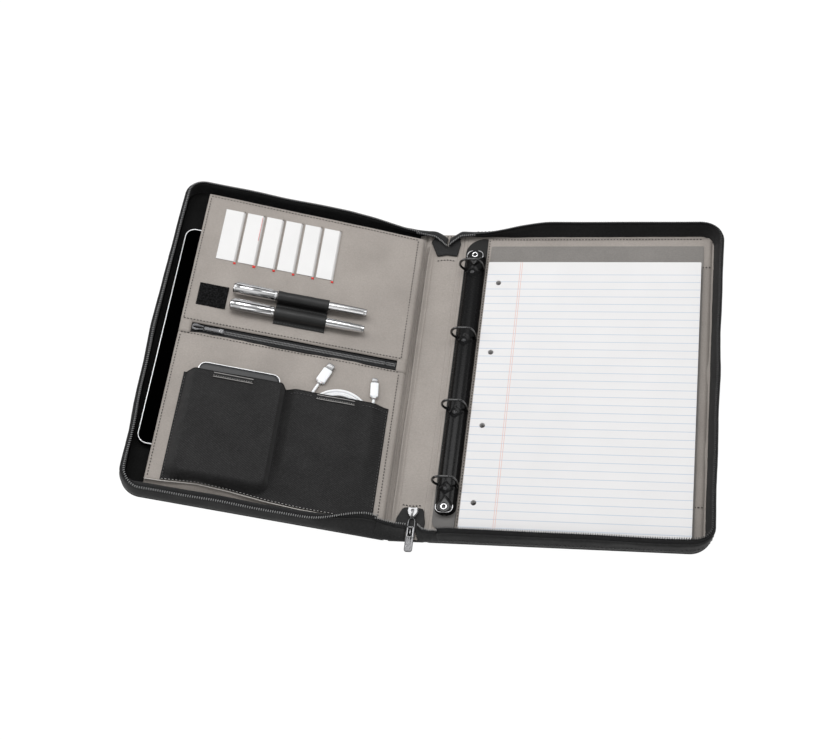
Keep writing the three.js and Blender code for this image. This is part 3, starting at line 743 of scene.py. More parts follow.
# ---------------------------------------------------------------- charging cable
CABLE_DIAMETER = 2.8
CABLE_FLOOR = 10.4                  # n of the lower organiser panel's surface, with a little air
CABLE_LINE = CABLE_FLOOR + CABLE_DIAMETER / 2
COIL_CENTRE = (61.5, -66.0)
COIL_OUTER = 31.0                   # radius of the outermost turn's centre line
COIL_INNER = 25.5
COIL_TURNS = 5.5
TURNS_INWARD = 2.6                  # in the lower layer
LAYER_RISE = 2.55
WIDE_TAIL = [(86.1, -32.6), (87.4, -35.6), (88.8, -39), (90.2, -43), (91.6, -47.6), (92.9, -53)]
SMALL_TAIL = [(31.4, -47), (31.2, -43), (31.2, -38.2)]


def cable_route():
    """Centre line (s, y, n): wide tail, lower layer winding in, upper layer winding out, small tail."""
    route = [(s, y, CABLE_LINE) for s, y in WIDE_TAIL]
    steps = int(COIL_TURNS * 26)
    for step in range(1, steps + 1):
        turn = COIL_TURNS * step / steps
        angle = math.pi + 2 * math.pi * turn
        if turn < TURNS_INWARD:
            radius = COIL_OUTER - (COIL_OUTER - COIL_INNER) * ramp(turn, 0, TURNS_INWARD)
        else:
            radius = COIL_INNER + (COIL_OUTER - COIL_INNER) * ramp(turn, TURNS_INWARD + 0.3, COIL_TURNS)
        raised = ramp(turn, TURNS_INWARD - 0.25, TURNS_INWARD + 0.25)
        raised = raised - ramp(turn, COIL_TURNS - 0.22, COIL_TURNS)
        route.append((COIL_CENTRE[0] - radius * math.cos(angle), COIL_CENTRE[1] + radius * math.sin(angle),
                      CABLE_LINE + LAYER_RISE * raised))
    route += [(s, y, CABLE_LINE) for s, y in SMALL_TAIL]
    return route


def build_cable():
    points = on_front(cable_route())
    curve = bpy.data.curves.new("charging_cable", "CURVE")
    curve.dimensions = "3D"
    curve.bevel_depth = CABLE_DIAMETER / 2 * MM
    curve.bevel_resolution = 4
    curve.resolution_u = 3
    spline = curve.splines.new("NURBS")
    spline.points.add(len(points) - 1)
    spline.order_u = 3
    spline.use_endpoint_u = True
    for knot, p in zip(spline.points, points):
        knot.co = (*(float(c) * MM for c in p), 1)
    curve.materials.append(WHITE_PLASTIC)
    cable = bpy.data.objects.new("charging_cable", curve)
    bpy.context.scene.collection.objects.link(cable)
    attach(cable, "front_cover")
    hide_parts("cable_coil", "cable_wide_tail", "cable_small_tail")
    wide = build_connector("wide_connector", (85.8, -31.7), (78.9, -15.5), 4.7, 3.6, 6.8, 4.4)
    small = build_connector("small_connector", (31.2, -37.3), (32.7, -20.4), 3.9, 2.7, 5.2, 4.0)


def build_connector(node, rear, front, half_width, tip_half, tip_length, thickness):
    """A moulded connector body with a collar at its rear and a metal tongue at its front."""
    rear, front = np.array(rear), np.array(front)
    ahead = (front - rear) / np.linalg.norm(front - rear)
    across = np.array([ahead[1], -ahead[0]])
    length = np.linalg.norm(front - rear)
    middle = CABLE_FLOOR + thickness / 2

    def block(name, stations, material, **rest):
        sections = []
        for along, half, tall in stations:
            ring = []
            for c, s in circle(1, 24):
                u = half * abs(c) ** 0.3 * np.sign(c)
                h = tall / 2 * abs(s) ** 0.45 * np.sign(s)
                base = rear + ahead * along + across * u
                ring.append((base[0], base[1], middle + h))
            sections.append(ring)
        return loft_piece(name, on_front(sections), material, body="front_cover", slot="cable_plastic",
                          **rest)

    body = block(f"{node}_moulding", [
        (0.3, 1.5, 2.9), (0.4, 2.0, 3.1), (1.8, 2.2, 3.2), (2.2, half_width - 0.6, thickness - 0.5),
        (2.7, half_width - 0.1, thickness - 0.1), (3.4, half_width, thickness),
        (length - 0.8, half_width, thickness), (length - 0.3, half_width - 0.2, thickness - 0.2),
        (length, half_width - 0.6, thickness - 0.8),
    ], WHITE_PLASTIC, replaces=[node])
    tongue = block(f"{node}_tongue", [
        (length - 0.8, tip_half, thickness - 1.7), (length + tip_length - 0.7, tip_half, thickness - 1.7),
        (length + tip_length - 0.2, tip_half - 0.3, thickness - 2.0),
        (length + tip_length, tip_half - 0.8, thickness - 2.5),
    ], SATIN)
    tongue.parent = body
    return body


build_cable()


# ---------------------------------------------------------------- covers
def wall_share(distance, far):
    """Height of the gusset wall, as a share, at a distance from the hinge line."""
    far_share = np.interp(distance, [12, 24, 38, 58, 85], [0.38, 0.46, 0.6, 0.82, 1.0])
    near_share = np.interp(distance, [12, 22], [0.85, 1.0])
    return np.where(far, far_share, near_share)


def rim_line(start=12.0, step=4.0):
    """Stations (distance, y, outward d, outward y) round a cover's three free edges."""
    line = []
    edge_x, edge_y = COVER_WIDTH - CORNER, HALF_LENGTH - CORNER
    for distance in np.arange(start, edge_x - 0.1, step):
        line.append((distance, -HALF_LENGTH, 0, -1))
    for angle in np.linspace(-90, 0, 14):
        a = math.radians(angle)
        line.append((edge_x + CORNER * math.cos(a), -edge_y + CORNER * math.sin(a),
                     math.cos(a), math.sin(a)))
    for y in np.linspace(-edge_y, edge_y, int(2 * edge_y / step) + 1)[1:-1]:
        line.append((COVER_WIDTH, y, 1, 0))
    for angle in np.linspace(0, 90, 14):
        a = math.radians(angle)
        line.append((edge_x + CORNER * math.cos(a), edge_y + CORNER * math.sin(a),
                     math.cos(a), math.sin(a)))
    for distance in np.linspace(edge_x, start, int((edge_x - start) / step) + 1)[1:]:
        line.append((distance, HALF_LENGTH, 0, 1))
    return np.array(line)


WALL_SECTION_LEVELS = [-1.0, 0.12, 0.4, 0.68, 0.92, 1.0, 1.0, 0.88, 0.5, 0.1, -0.4]


class Cover:
    """One cover's frame: a distance from the hinge line, y, and height above its underside.

    lean is how far the wall's top leans in from the cover's edge on its near, free and far sides;
    splay and near_splay are how much more the far and near sides lean in by the spine.
    """

    def __init__(self, word, seed, lean, splay, near_splay):
        self.word = word
        self.body = f"{word}_cover"
        self.front = word == "front"
        self.up = FRONT_UP if self.front else UP
        self.seed = seed
        self.lean = lean
        self.splay = splay
        self.near_splay = near_splay

    def place(self, points):
        p = np.asarray(points, float).copy()
        if self.front:
            sag = 5.0 + np.where(p[..., 1] < 0, 4.5, 2.0) * (np.abs(p[..., 1]) / HALF_LENGTH) ** 2
            p[..., 0] -= sag * ramp(p[..., 0], 130, 250)
            p[..., 2] -= HINGE_Z
            return on_front(p)
        p[..., 0] += BACK_HINGE_X
        return p

    def top_inset(self, line):
        near, side, far = self.lean
        near = near + self.near_splay * (1 - ramp(line[:, 0], 14, 85))
        inset = near * np.clip(-line[:, 3], 0, 1) ** 2 + side * line[:, 2] ** 2
        waver = 0.8 * crumple(line[:, 0], line[:, 1], 95, self.seed + 5) * ramp(line[:, 0], 14, 60)
        inset = inset + waver * (line[:, 2] ** 2 + 0.5 * line[:, 3] ** 2)
        splay = far + self.splay * (1 - ramp(line[:, 0], 14, 95))
        return inset + splay * np.clip(line[:, 3], 0, 1) ** 2

    def inner_foot(self, line):
        """How far in the wall's inner face lands on the lining."""
        side, far = (3.2, 8.5) if self.front else (6.3, 7.3)
        return 3.2 + (side - 3.2) * line[:, 2] ** 2 + (far - 3.2) * np.clip(line[:, 3], 0, 1) ** 2

    def along(self, line, insets, heights):
        """Points at an inset (one for each station) and a height."""
        return np.column_stack([line[:, 0] - insets * line[:, 2], line[:, 1] - insets * line[:, 3],
                                np.broadcast_to(heights, len(line))])

    def wall_sections(self, line):
        """Closed sections of the wall's cloth, one for each station."""
        far = line[:, 1] > 0
        rise = WALL_RISE * wall_share(line[:, 0], far)
        top = self.top_inset(line)
        run = np.concatenate([[0], np.cumsum(np.linalg.norm(np.diff(line[:, :2], axis=0), axis=1))])
        insets = [np.full_like(top, 0.6), np.full_like(top, -0.1), 0.35 * top - 1.3, 0.65 * top - 1.4,
                  top - 2.3, top - 1.5, top + 0.1, top + 0.7, 0.5 * (top + 0.6) + 1.6,
                  self.inner_foot(line), self.inner_foot(line) - 0.2]
        if self.front:
            shelf = 3.8 * np.clip(-line[:, 3], 0, 1) ** 2 * ramp(line[:, 0], 20, 75)
            insets[6] = insets[6] + 0.5 * shelf
            insets[7] = insets[7] + shelf
            insets[8] = insets[8] + 0.5 * shelf
        rows = []
        for inset, level in zip(insets, WALL_SECTION_LEVELS):
            fold = 0.35 * crumple(run, np.full_like(run, 18.0 * level), 34, self.seed + 3)
            fold += 0.16 * crumple(run, np.full_like(run, 9.0 * level), 10, self.seed + 4)
            fold *= math.sin(math.pi * min(max(level, 0), 1)) * np.minimum(1, (run - run[0]) / 20)
            height = WALL_FOOT + (level * 2.2 if level < 0 else rise * level)
            rows.append(self.along(line, inset - fold, height))
        return np.stack(rows, 1)


BACK = Cover("back", 11, lean=(3.3, -1.2, 1.3), splay=6.6, near_splay=1.0)
FRONT = Cover("front", 23, lean=(4.6, 2.2, 5.0), splay=2.6, near_splay=8.0)


def build_shell(cover):
    """The board's cloth: its sides and inner face in one piece, its outer face in another."""
    edge = rounded_loop((0.5, -HALF_LENGTH), (COVER_WIDTH, HALF_LENGTH), (2.6, CORNER, CORNER, 2.6), 14)
    profile = edge_profile(0.0, BOARD_TOP + 0.2, 1.35)
    sides = dense_outline(edge, 12.0)
    plate_piece(f"{cover.word}_shell_cloth", sides, profile, cover.place, SHELL, bottom=False,
                body=cover.body, replaces=[f"{cover.word}_cover_shell"])
    grid_d, grid_y = lining_grid(1.1, COVER_WIDTH - 0.65, 70, 0.65)
    outer_face = cover.place(np.stack([grid_d, grid_y, np.full_like(grid_d, 0.5)], -1))
    sheet_piece(f"{cover.word}_shell_face", outer_face, SHELL, 0.4, up=cover.up, body=cover.body)


def dense_outline(outline, step):
    """The same outline with its long sides cut into short ones."""
    def dense(inset):
        base = outline(0.0)
        points = outline(inset)
        result = []
        for k, (a, b) in enumerate(zip(points, np.roll(points, -1, 0))):
            reach = np.linalg.norm(base[(k + 1) % len(points)] - base[k])
            count = max(int(reach / step), 1)
            result += [a + (b - a) * j / count for j in range(count)]
        return np.array(result)
    return dense


def lining_grid(low_d, high_d, columns, margin):
    """Grid of (d, y) inside the cover's rounded outline."""
    d = np.linspace(low_d, high_d, columns)
    y = np.linspace(-HALF_LENGTH + margin, HALF_LENGTH - margin, 90)
    grid_d, grid_y = np.meshgrid(d, y, indexing="ij")
    over_d = np.clip(grid_d - (COVER_WIDTH - CORNER), 0, None)
    over_y = np.clip(np.abs(grid_y) - (HALF_LENGTH - CORNER), 0, None)
    reach = np.hypot(over_d, over_y)
    limit = CORNER - margin
    outside = (reach > limit) & (over_d > 0) & (over_y > 0)
    scale = np.where(outside, limit / np.maximum(reach, 1e-6), 1)
    grid_d = np.where(over_d > 0, COVER_WIDTH - CORNER + over_d * scale, grid_d)
    grid_y = np.where(over_y > 0, np.sign(grid_y) * (HALF_LENGTH - CORNER + over_y * scale), grid_y)
    return grid_d, grid_y


def build_lining(cover):
    """The board's lining. The front cover's is black in the sleeve, beyond the organiser panels."""
    parts = [("lining", 0.6, COVER_WIDTH - 3.2, 70, LINING)]
    if cover.front:
        parts = [("lining", 0.6, PANEL_END, 60, LINING),
                 ("sleeve_lining", PANEL_END - 0.5, COVER_WIDTH - 3.2, 12, SLEEVE)]
    for word, low, high, columns, material in parts:
        grid_d, grid_y = lining_grid(low, high, columns, 3.2)
        height = LINING_TOP + 0.1 * crumple(grid_d, grid_y, 60, cover.seed)
        height = height + 0.3 * ramp(np.abs(grid_y), HALF_LENGTH - 9, HALF_LENGTH - 3)
        points = cover.place(np.stack([grid_d, grid_y, height], -1))
        sheet_piece(f"{cover.word}_{word}_cloth", points, material, 0.8, up=cover.up, body=cover.body,
                    replaces=[f"{cover.word}_cover_lining"])


def build_wall(cover):
    """Gusset cloth: a soft closed band that leans, bulges and creases a little."""
    sections = cover.wall_sections(rim_line())
    loft_piece(f"{cover.word}_wall_cloth", cover.place(sections), SHELL, body=cover.body,
               replaces=[f"{cover.word}_gusset_wall"])


def zip_rows(name, tape_rows, up, nylon=NYLON_PAINTED_HIGHLIGHT, body=None, replaces=()):
    """Tape through rows of points, foot to free edge, with teeth along the free edge."""
    tape = np.stack(tape_rows, 1)
    piece = sheet_piece(f"{name}_tape", tape, TAPE, 0.7, up=up, offset=0, body=body, replaces=replaces)
    edge, before = tape[:, -1], tape[:, -2]
    line = resample(np.column_stack([edge, edge - before]), ZIP_TOOTH_PITCH)
    inward = line[:, 3:] / np.linalg.norm(line[:, 3:], axis=1)[:, None]
    ahead = np.gradient(line[:, :3], axis=0)
    ahead /= np.linalg.norm(ahead, axis=1)[:, None]
    lift = np.array(up) * 0.9
    starts = line[:, :3] + inward * 1.2 + ahead * 0.2 + lift
    ends = line[:, :3] - inward * 1.1 - ahead * 0.2 + lift
    teeth = capsules(f"{name}_teeth", starts, ends, up, 0.5, 0.7, nylon, body=body)
    rib = line[::2, :3] - inward[::2] * 2.0 + lift * 0.2
    cord = tube_piece(f"{name}_rib", rib, 0.42, TAPE, sides=8, body=body)
    return [piece, teeth, cord]


def tape_profile(cover, line):
    """How the zip tape stands on the wall's top: (inset beyond the top, height) pairs.

    On the front cover's near side the tape flops outward, elsewhere it stands up or leans in.
    """
    near, side, far = 2.1, (-0.6 if not cover.front else 0.6), -0.4
    reach = near * np.clip(-line[:, 3], 0, 1) ** 2 + side * line[:, 2] ** 2
    reach = reach + far * np.clip(line[:, 3], 0, 1) ** 2
    upright = [(-0.9 + 0 * reach, -1.0), (-0.7 + 0.1 * reach, 0.5), (-0.4 + 0.45 * reach, 1.8),
               (0.2 + 0.8 * reach, 2.8), (1.0 + reach, 3.3)]
    if not cover.front:
        return upright
    flop = np.clip(-line[:, 3], 0, 1) ** 2 * ramp(line[:, 0], 20, 75)
    flopped = [(0.6, -1.0), (0.8, 0.6), (0.1, 1.5), (-1.2, 1.7), (-2.6, 1.2)]
    return [(inset * (1 - flop) + low_inset * flop, height * (1 - flop) + low_height * flop)
            for (inset, height), (low_inset, low_height) in zip(upright, flopped)]


def build_zip_half(cover):
    """One half of the outer zip on the wall's top, with piping below it."""
    line = rim_line(step=3.0)
    top = WALL_FOOT + WALL_RISE * wall_share(line[:, 0], line[:, 1] > 0)
    lean = cover.top_inset(line)
    rows = [cover.place(cover.along(line, lean + inset, top + height))
            for inset, height in tape_profile(cover, line)]
    nylon = NYLON_PAINTED_HIGHLIGHT if cover.front else DARK_NYLON
    zip_rows(f"{cover.word}_zip", rows, cover.up, nylon, cover.body, [f"{cover.word}_zip_chain"])
    piping = cover.place(cover.along(line, lean - 1.3, top + 0.15))
    tube_piece(f"{cover.word}_zip_piping", piping[::2], 0.8, SHELL, sides=8, body=cover.body)


def build_wall_stitching(cover):
    """A row of stitches low on the wall's outer face."""
    sections = cover.place(cover.wall_sections(rim_line()))
    low, high = sections[:, 1], sections[:, 2]
    outward = np.cross(np.gradient(low, axis=0), high - low)
    outward /= np.linalg.norm(outward, axis=1)[:, None]
    marks = resample(np.column_stack([low * 0.3 + high * 0.7, outward]), 3.7)
    outward = marks[:-1, 3:] / np.linalg.norm(marks[:-1, 3:], axis=1)[:, None]
    place = marks[:, :3]
    lift = outward * (0.42 if cover.front else 0.15)
    starts = place[:-1] * 0.8 + place[1:] * 0.2 + lift
    ends = place[:-1] * 0.2 + place[1:] * 0.8 + lift
    capsules(f"{cover.word}_wall_stitching", starts, ends, outward, 0.36, 0.3, BLACK_THREAD,
             body=cover.body)


for one_cover in (BACK, FRONT):
    build_shell(one_cover)
    build_lining(one_cover)
    build_wall(one_cover)
    build_zip_half(one_cover)
    build_wall_stitching(one_cover)


# ---------------------------------------------------------------- spine
SPINE_LOW = FRONT_HINGE_X + 0.6
SPINE_HIGH = BACK_HINGE_X - 0.6


def build_spine():
    """The spine's cloth and lining, with a soft fold of lining beside the front cover's hinge."""
    far_end = HALF_LENGTH - 3.5         # drawn in by the gussets
    edge = rounded_loop((SPINE_LOW, -HALF_LENGTH), (SPINE_HIGH, far_end), (2.6,) * 4)
    plate_piece("spine_shell_cloth", edge, edge_profile(0.0, BOARD_TOP + 0.2, 1.35), on_back, SHELL,
                body="spine", replaces=["spine_shell"])
    x = np.linspace(SPINE_LOW + 0.2, SPINE_HIGH - 0.2, 60)
    y = np.linspace(-HALF_LENGTH + 1.2, far_end - 0.8, 160)
    grid_x, grid_y = np.meshgrid(x, y, indexing="ij")
    fold_x = SPINE_LOW + 3.2 + 0.45 * crumple(grid_y, grid_y * 0, 130, 5)
    ridge = 3.2 * np.exp(-np.abs((grid_x - fold_x) / 1.5) ** 2.4)
    fade = 1 - ramp(np.abs(grid_y), 138, 160)
    ridge *= fade
    valley = 0.7 * np.exp(-((grid_x - fold_x - 3.6) / 0.9) ** 2) * fade
    height = LINING_TOP - 0.1 + ridge - valley + 0.06 * crumple(grid_x, grid_y, 50, 6)
    height -= 0.8 * ramp(np.abs(grid_x - (SPINE_LOW + SPINE_HIGH) / 2), 15.5, 18.5) * (ridge < 0.4)
    sheet_piece("spine_lining_cloth", np.stack([grid_x, grid_y, height], -1), LINING, 0.7, body="spine",
                replaces=["spine_lining"])
    rows = []
    for y_row, low, high, bow, lift in ((136.0, -154, -136, 1.2, 0.3), (-136.5, -155, -135, -1.2, 0.3),
                                        (166.0, -163, -132, 0, 0.2), (-169.0, -163, -132, 0, 0.2)):
        rows.append([(x, y_row + bow * math.sin(math.pi * (x - low) / (high - low)), LINING_TOP + lift)
                     for x in np.linspace(low, high, 12)])
    stitch_rows("spine_stitching", rows, UP, DARK_THREAD, body="spine")


CREASE_REACH = 4.5
GUSSET_REACH = 5.0


def build_creases():
    """Cloth that carries on across each hinge line, inside and outside."""
    for word, hinge_x, bodies in (("back", BACK_HINGE_X, ("spine", "back_cover")),
                                  ("front", FRONT_HINGE_X, ("front_cover", "spine"))):
        y = np.linspace(-HALF_LENGTH + 2.0, HALF_LENGTH - 2.0, 90)
        grid_t, grid_y = np.meshgrid(np.linspace(-1, 1, 13), y, indexing="ij")
        for layer, level, sag, material in (("lining", LINING_TOP + 0.12, -0.8, LINING),
                                            ("cloth", 0.12, 0.5, SHELL)):
            height = level + sag * (1 - np.abs(grid_t)) ** 2
            points = np.stack([hinge_x + grid_t * CREASE_REACH, grid_y, height], -1)
            if word == "front":
                lifted = on_front(np.stack([-grid_t * CREASE_REACH, grid_y, height - HINGE_Z], -1))
                points[grid_t < 0] = lifted[grid_t < 0]
            piece = sheet_piece(f"{word}_crease_{layer}", points, material, 0.5, offset=0)
            blend_over(piece, bodies, hinge_x, CREASE_REACH)


def blend_over(piece, bodies, hinge_x, reach):
    """Bakes a cloth piece's transform into its mesh; it does not blend the piece over the hinge line."""
    start, end = ((x * MM, 0, HINGE_Z * MM) for x in (hinge_x - reach, hinge_x + reach))
    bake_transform(piece)
    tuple(start)
    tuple(end)


# (inset from the end of the spine, height) of the gusset's cloth, from its outer foot over its top
# to its inner foot: half way to the zip's end tab, and where it meets the tab.
NEAR_MIDDLE = [(0.6, 0.9), (-0.2, 2.6), (-0.3, 5.0), (0.6, 8.0), (2.6, 10.4), (4.6, 11.6), (6.6, 11.9),
               (7.2, 11.0), (5.6, 8.4), (3.8, 5.0), (3.2, 3.0)]
NEAR_END = [(0.8, 1.6), (0.2, 2.6), (0.8, 3.8), (2.8, 5.4), (6.2, 7.2), (9.6, 8.4), (12.4, 8.9),
            (13.0, 8.2), (9.5, 6.8), (5.0, 4.8), (3.2, 3.2)]
FAR_MIDDLE = [(1.0, 1.2), (0.4, 2.8), (0.6, 4.6), (1.8, 6.4), (4.4, 8.2), (7.4, 9.0), (9.6, 9.0),
              (10.4, 8.2), (8.6, 6.4), (5.0, 4.6), (3.6, 3.2)]
FAR_END = [(9.5, 3.4), (9.0, 4.8), (9.6, 6.4), (11.0, 7.6), (13.6, 8.4), (16.6, 8.8), (19.4, 8.8),
           (20.4, 8.0), (18.6, 6.6), (15.0, 5.4), (12.0, 4.4)]
FRONT_NEAR_MIDDLE = [(0.6, 0.9), (-0.2, 2.6), (0.3, 5.0), (2.8, 7.6), (6.8, 9.6), (10.6, 10.6),
                     (13.2, 10.8), (13.6, 10.0), (9.6, 7.8), (5.0, 5.0), (3.2, 3.0)]
GUSSET_X = {("back", False): (-129.6, -136.6), ("front", False): (-161.5, -148.6),
            ("back", True): (-131.5, -143.2), ("front", True): (-158.5, -145.8)}


# (distance in from the gusset's top, height where it starts, height at the end tab)
TAPE_ON_GUSSET = [(0.3, -0.8, 0), (0.6, 0.5, 0.4), (1.1, 1.3, 0.5), (1.9, 1.9, 0.6), (2.9, 2.2, 0.6)]


def gusset_controls(cover, far):
    """The gusset's three sections: the wall's end, half way, and at the end tab."""
    side = 1 if far else -1
    controls = [cover.place(cover.wall_sections(rim_line()))[-1 if far else 0]]
    near_middle = FRONT_NEAR_MIDDLE if cover.front else NEAR_MIDDLE
    profiles = (FAR_MIDDLE, FAR_END) if far else (near_middle, NEAR_END)
    for x, profile in zip(GUSSET_X[(cover.word, far)], profiles):
        controls.append([(x, side * (HALF_LENGTH - inset), z) for inset, z in profile])
    return np.array(controls)


def build_gussets():
    """Where each wall runs out at the spine, its cloth and zip fold down to the zip's end tab."""
    for cover in (BACK, FRONT):
        hinge_x = FRONT_HINGE_X if cover.front else BACK_HINGE_X
        bodies = ("front_cover", "spine") if cover.front else ("spine", "back_cover")
        for far in (False, True):
            controls = gusset_controls(cover, far)
            steps = 19
            strands = []
            for corner in range(controls.shape[1]):
                strand = smooth_line(controls[:, corner], 0.4)
                strands.append(strand[np.linspace(0, len(strand) - 1, steps).astype(int)])
            sections = np.stack(strands, 1)
            t = np.linspace(0, 1, steps)[:, None]
            round_section = np.sin(np.linspace(0, math.pi, controls.shape[1]))
            sections[..., 2] += 0.5 * np.sin(5 * math.pi * t) * round_section * np.sin(math.pi * t)
            word = f"{'far' if far else 'near'}_{cover.word}_gusset"
            cloth = loft_piece(word, sections, SHELL)
            blend_over(cloth, bodies, hinge_x, GUSSET_REACH)

            top_out, top_in = sections[:, 5], sections[:, 6]
            across = top_in - top_out
            across /= np.linalg.norm(across, axis=1)[:, None]
            rows = []
            for a, start_h, end_h in TAPE_ON_GUSSET:
                start = top_out + across * a + np.array([0, 0, start_h])
                end = top_out + across * a * 1.4 + np.array([0, 0, end_h])
                rows.append(start * (1 - t) + end * t)
            for piece in zip_rows(f"{word}_zip", rows, UP):
                blend_over(piece, bodies, hinge_x, GUSSET_REACH)


def flat_body(outline, low, high, place=on_back):
    """Vertices and faces of a flat piece with an outline of (x, y) points."""
    points = [(x, y, low) for x, y in outline] + [(x, y, high) for x, y in outline]
    count = len(outline)
    faces = [tuple(range(count)), tuple(range(2 * count - 1, count - 1, -1))]
    faces += [(k, (k + 1) % count, (k + 1) % count + count, k + count) for k in range(count)]
    return place(np.array(points)), faces


def build_zip_tabs():
    """Forked near tab and pointed far tab, under the ends of the outer zip."""
    low = box_mm("near_zip_end_tab")[0][2]
    near = [(-154.6, -141.5), (-158.5, -150), (-160, -160), (-159, -170.5), (-152, -170.5), (-149, -163.5),
            (-139.5, -163.5), (-137, -170.5), (-132.5, -170.5), (-131.3, -155), (-133.6, -143),
            (-135.4, -140.6), (-144.5, -139.4), (-152.6, -140)]
    far = [(-154.6, 141), (-144.5, 142.8), (-134, 141), (-131.4, 156), (-134.2, 166.5), (-144.5, 152.5),
           (-158.3, 167.5), (-162.6, 158)]
    for word, outline in (("near", near), ("far", far)):
        points, faces = flat_body(outline, low, low + 2.0)
        tab = make_piece(f"{word}_tab_cloth", points, faces, SHELL, body="spine",
                         replaces=[f"{word}_zip_end_tab"], sharp_angle=40)
        soften(tab, 0.8)


def build_outer_slider():
    """Shield-shaped cast slider with notched shoulders, a bridge, and a pull hung from it."""
    low, high = box_mm("outer_zip_slider")
    cx, top_y, near_y, base = (low[0] + high[0]) / 2, high[1], low[1], low[2]
    half = [(2.0, near_y - 0.3), (3.8, near_y + 2.2), (4.7, near_y + 4.8), (4.3, near_y + 7.0),
            (4.9, near_y + 8.0), (3.4, top_y - 0.1), (1.2, top_y - 0.5)]
    outline = [(cx - x, y) for x, y in half] + [(cx + x, y) for x, y in reversed(half)]
    for word, level, thick in (("lower", base - 0.1, 0.9), ("upper", base + 1.8, 1.1)):
        points, faces = flat_body(outline, level, level + thick)
        wing = make_piece(f"outer_slider_{word}_wing", points, faces, SATIN, body="spine",
                          replaces=["outer_zip_slider"], sharp_angle=40)
        soften(wing, 0.4)
    post = [(1.6, base), (1.7, base + 1.4), (1.6, base + 3)]
    lathe_piece("outer_slider_post", post, (cx, (top_y + near_y) / 2 + 1, 0), UP, SATIN, sides=20,
                body="spine")
    bridge = smooth_line([(cx, top_y - 3.4, base + 2.7), (cx, top_y - 4.4, base + 3.7),
                          (cx, near_y + 1.6, base + 3.8), (cx, near_y - 0.2, base + 2.4)], 0.6)
    tube_piece("outer_slider_bridge", bridge, 0.95, SATIN, sides=12, body="spine")

    pull_low, pull_high = box_mm("outer_zip_pull")
    middle = (pull_low[2] + pull_high[2]) / 2
    pull_top = pull_high[1]
    arms = [(2.1, pull_top - 1.0), (3.0, pull_top - 4), (3.3, pull_top - 10)]
    for word, sign in (("left", -1), ("right", 1)):
        arm = smooth_line([(cx + sign * x, y, middle) for x, y in arms], 1.0)
        tube_piece(f"outer_pull_{word}_arm", arm, 0.68, GUNMETAL, sides=12, body="outer_zip_pull",
                   replaces=["outer_zip_pull"])
    eye = smooth_line([(cx + x, pull_top - drop, middle)
                       for x, drop in ((-2.1, 1.0), (-1.1, 0.5), (1.1, 0.5), (2.1, 1.0))], 0.5)
    tube_piece("outer_pull_eye", eye, 0.6, GUNMETAL, sides=12, body="outer_zip_pull")
    plate = rounded_loop((cx - 3.9, pull_low[1]), (cx + 3.9, pull_top - 8.4), (2.4, 2.4, 0.9, 0.9))
    plate_piece("outer_pull_plate", plate, edge_profile(middle - 0.75, middle + 0.75, 0.45), on_back,
                GUNMETAL, body="outer_zip_pull")
    raised = rounded_loop((cx - 3.1, pull_top - 20), (cx + 3.1, pull_top - 9.2), (0.9,) * 4)
    plate_piece("outer_pull_panel", raised, edge_profile(middle + 0.4, middle + 1.05, 0.25), on_back,
                SATIN, body="outer_zip_pull")
    ring = [(cx + x, pull_low[1] + 5.4 + y, middle + 0.75) for x, y in circle(2.3, 28)]
    tube_piece("outer_pull_ring_mark", ring, 0.32, SATIN, sides=8, closed=True, body="outer_zip_pull")


build_spine()
build_creases()
build_gussets()
build_zip_tabs()
build_outer_slider()


# ---------------------------------------------------------------- ring mechanism
PLATE_HALF_WIDTH = 10.0


def arch_height(x):
    """Top of the cover plate at a distance from its centre line."""
    rise = PLATE_CROWN - box_mm("ring_cover_plate")[0][2]
    radius = (PLATE_HALF_WIDTH ** 2 + rise ** 2) / (2 * rise)
    return PLATE_CROWN - radius + np.sqrt(radius ** 2 - np.minimum(np.abs(x), PLATE_HALF_WIDTH) ** 2)


def build_plate():
    """Arched enamelled plate: rounded ends, wells where the rings pass, and a dimple at each rivet."""
    u = np.linspace(-1, 1, 41)
    y = np.arange(PLATE_LOW_Y, PLATE_HIGH_Y + 0.01, 1.0)
    grid_u, grid_y = np.meshgrid(u, y, indexing="ij")
    end = np.minimum(grid_y - PLATE_LOW_Y, PLATE_HIGH_Y - grid_y)
    x = grid_u * PLATE_HALF_WIDTH * np.sqrt(np.clip(1 - (1 - np.clip(end / 7.5, 0, 1)) ** 2.4, 0.02, 1))
    z = arch_height(grid_u * PLATE_HALF_WIDTH) - 1.2 * (1 - ramp(end, 0, 2.2))
    for row in RING_ROWS:
        depth = 1 - np.abs(x + 1.0) / 7.5 - np.abs(grid_y - (row - 4.5)) / 6.5
        z = z - 0.5 * ramp(depth, 0.0, 0.12)

    def keep(r, c):
        wide = abs(u[r]) > 0.77 and abs(u[r + 1]) > 0.77
        return not (wide and any(abs((y[c] + y[c + 1]) / 2 - row) < 2.2 for row in RING_ROWS))

    points = np.stack([BINDER_X + x, grid_y, z], -1)
    sheet_piece("ring_plate_shell", points, ENAMEL, 0.55, keep=keep, body="back_cover",
                replaces=["ring_cover_plate"])
    dome = [(2.3, -0.4), (2.3, 0.1), (1.9, 0.4), (1.45, 0.6), (1.2, 1.1), (0.6, 1.45), (0.01, 1.5)]
    for number, row in enumerate(RING_ROWS, 1):
        place = (BINDER_X - 1.4, row - 4.6, arch_height(1.4) - 0.7)
        lathe_piece(f"plate_rivet_{number}", dome, place, UP, GUNMETAL, sides=28, body="back_cover")


# Centre line of each half ring, (x from the binder's centre line, z).
RING_LINES = {
    "left": [(-9.2, 7.4), (-10.8, 9.2), (-12.7, 12.6), (-13.4, 16.5), (-12.3, 21), (-9.4, 24.8),
             (-5.6, 26.4), (-2, 26.6), (4.0, 26.6)],
    "right": [(9.3, 7.1), (9.6, 9.5), (9.5, 14), (9, 19), (7.6, 23.6), (5.9, 26), (4.2, 26.6)],
}


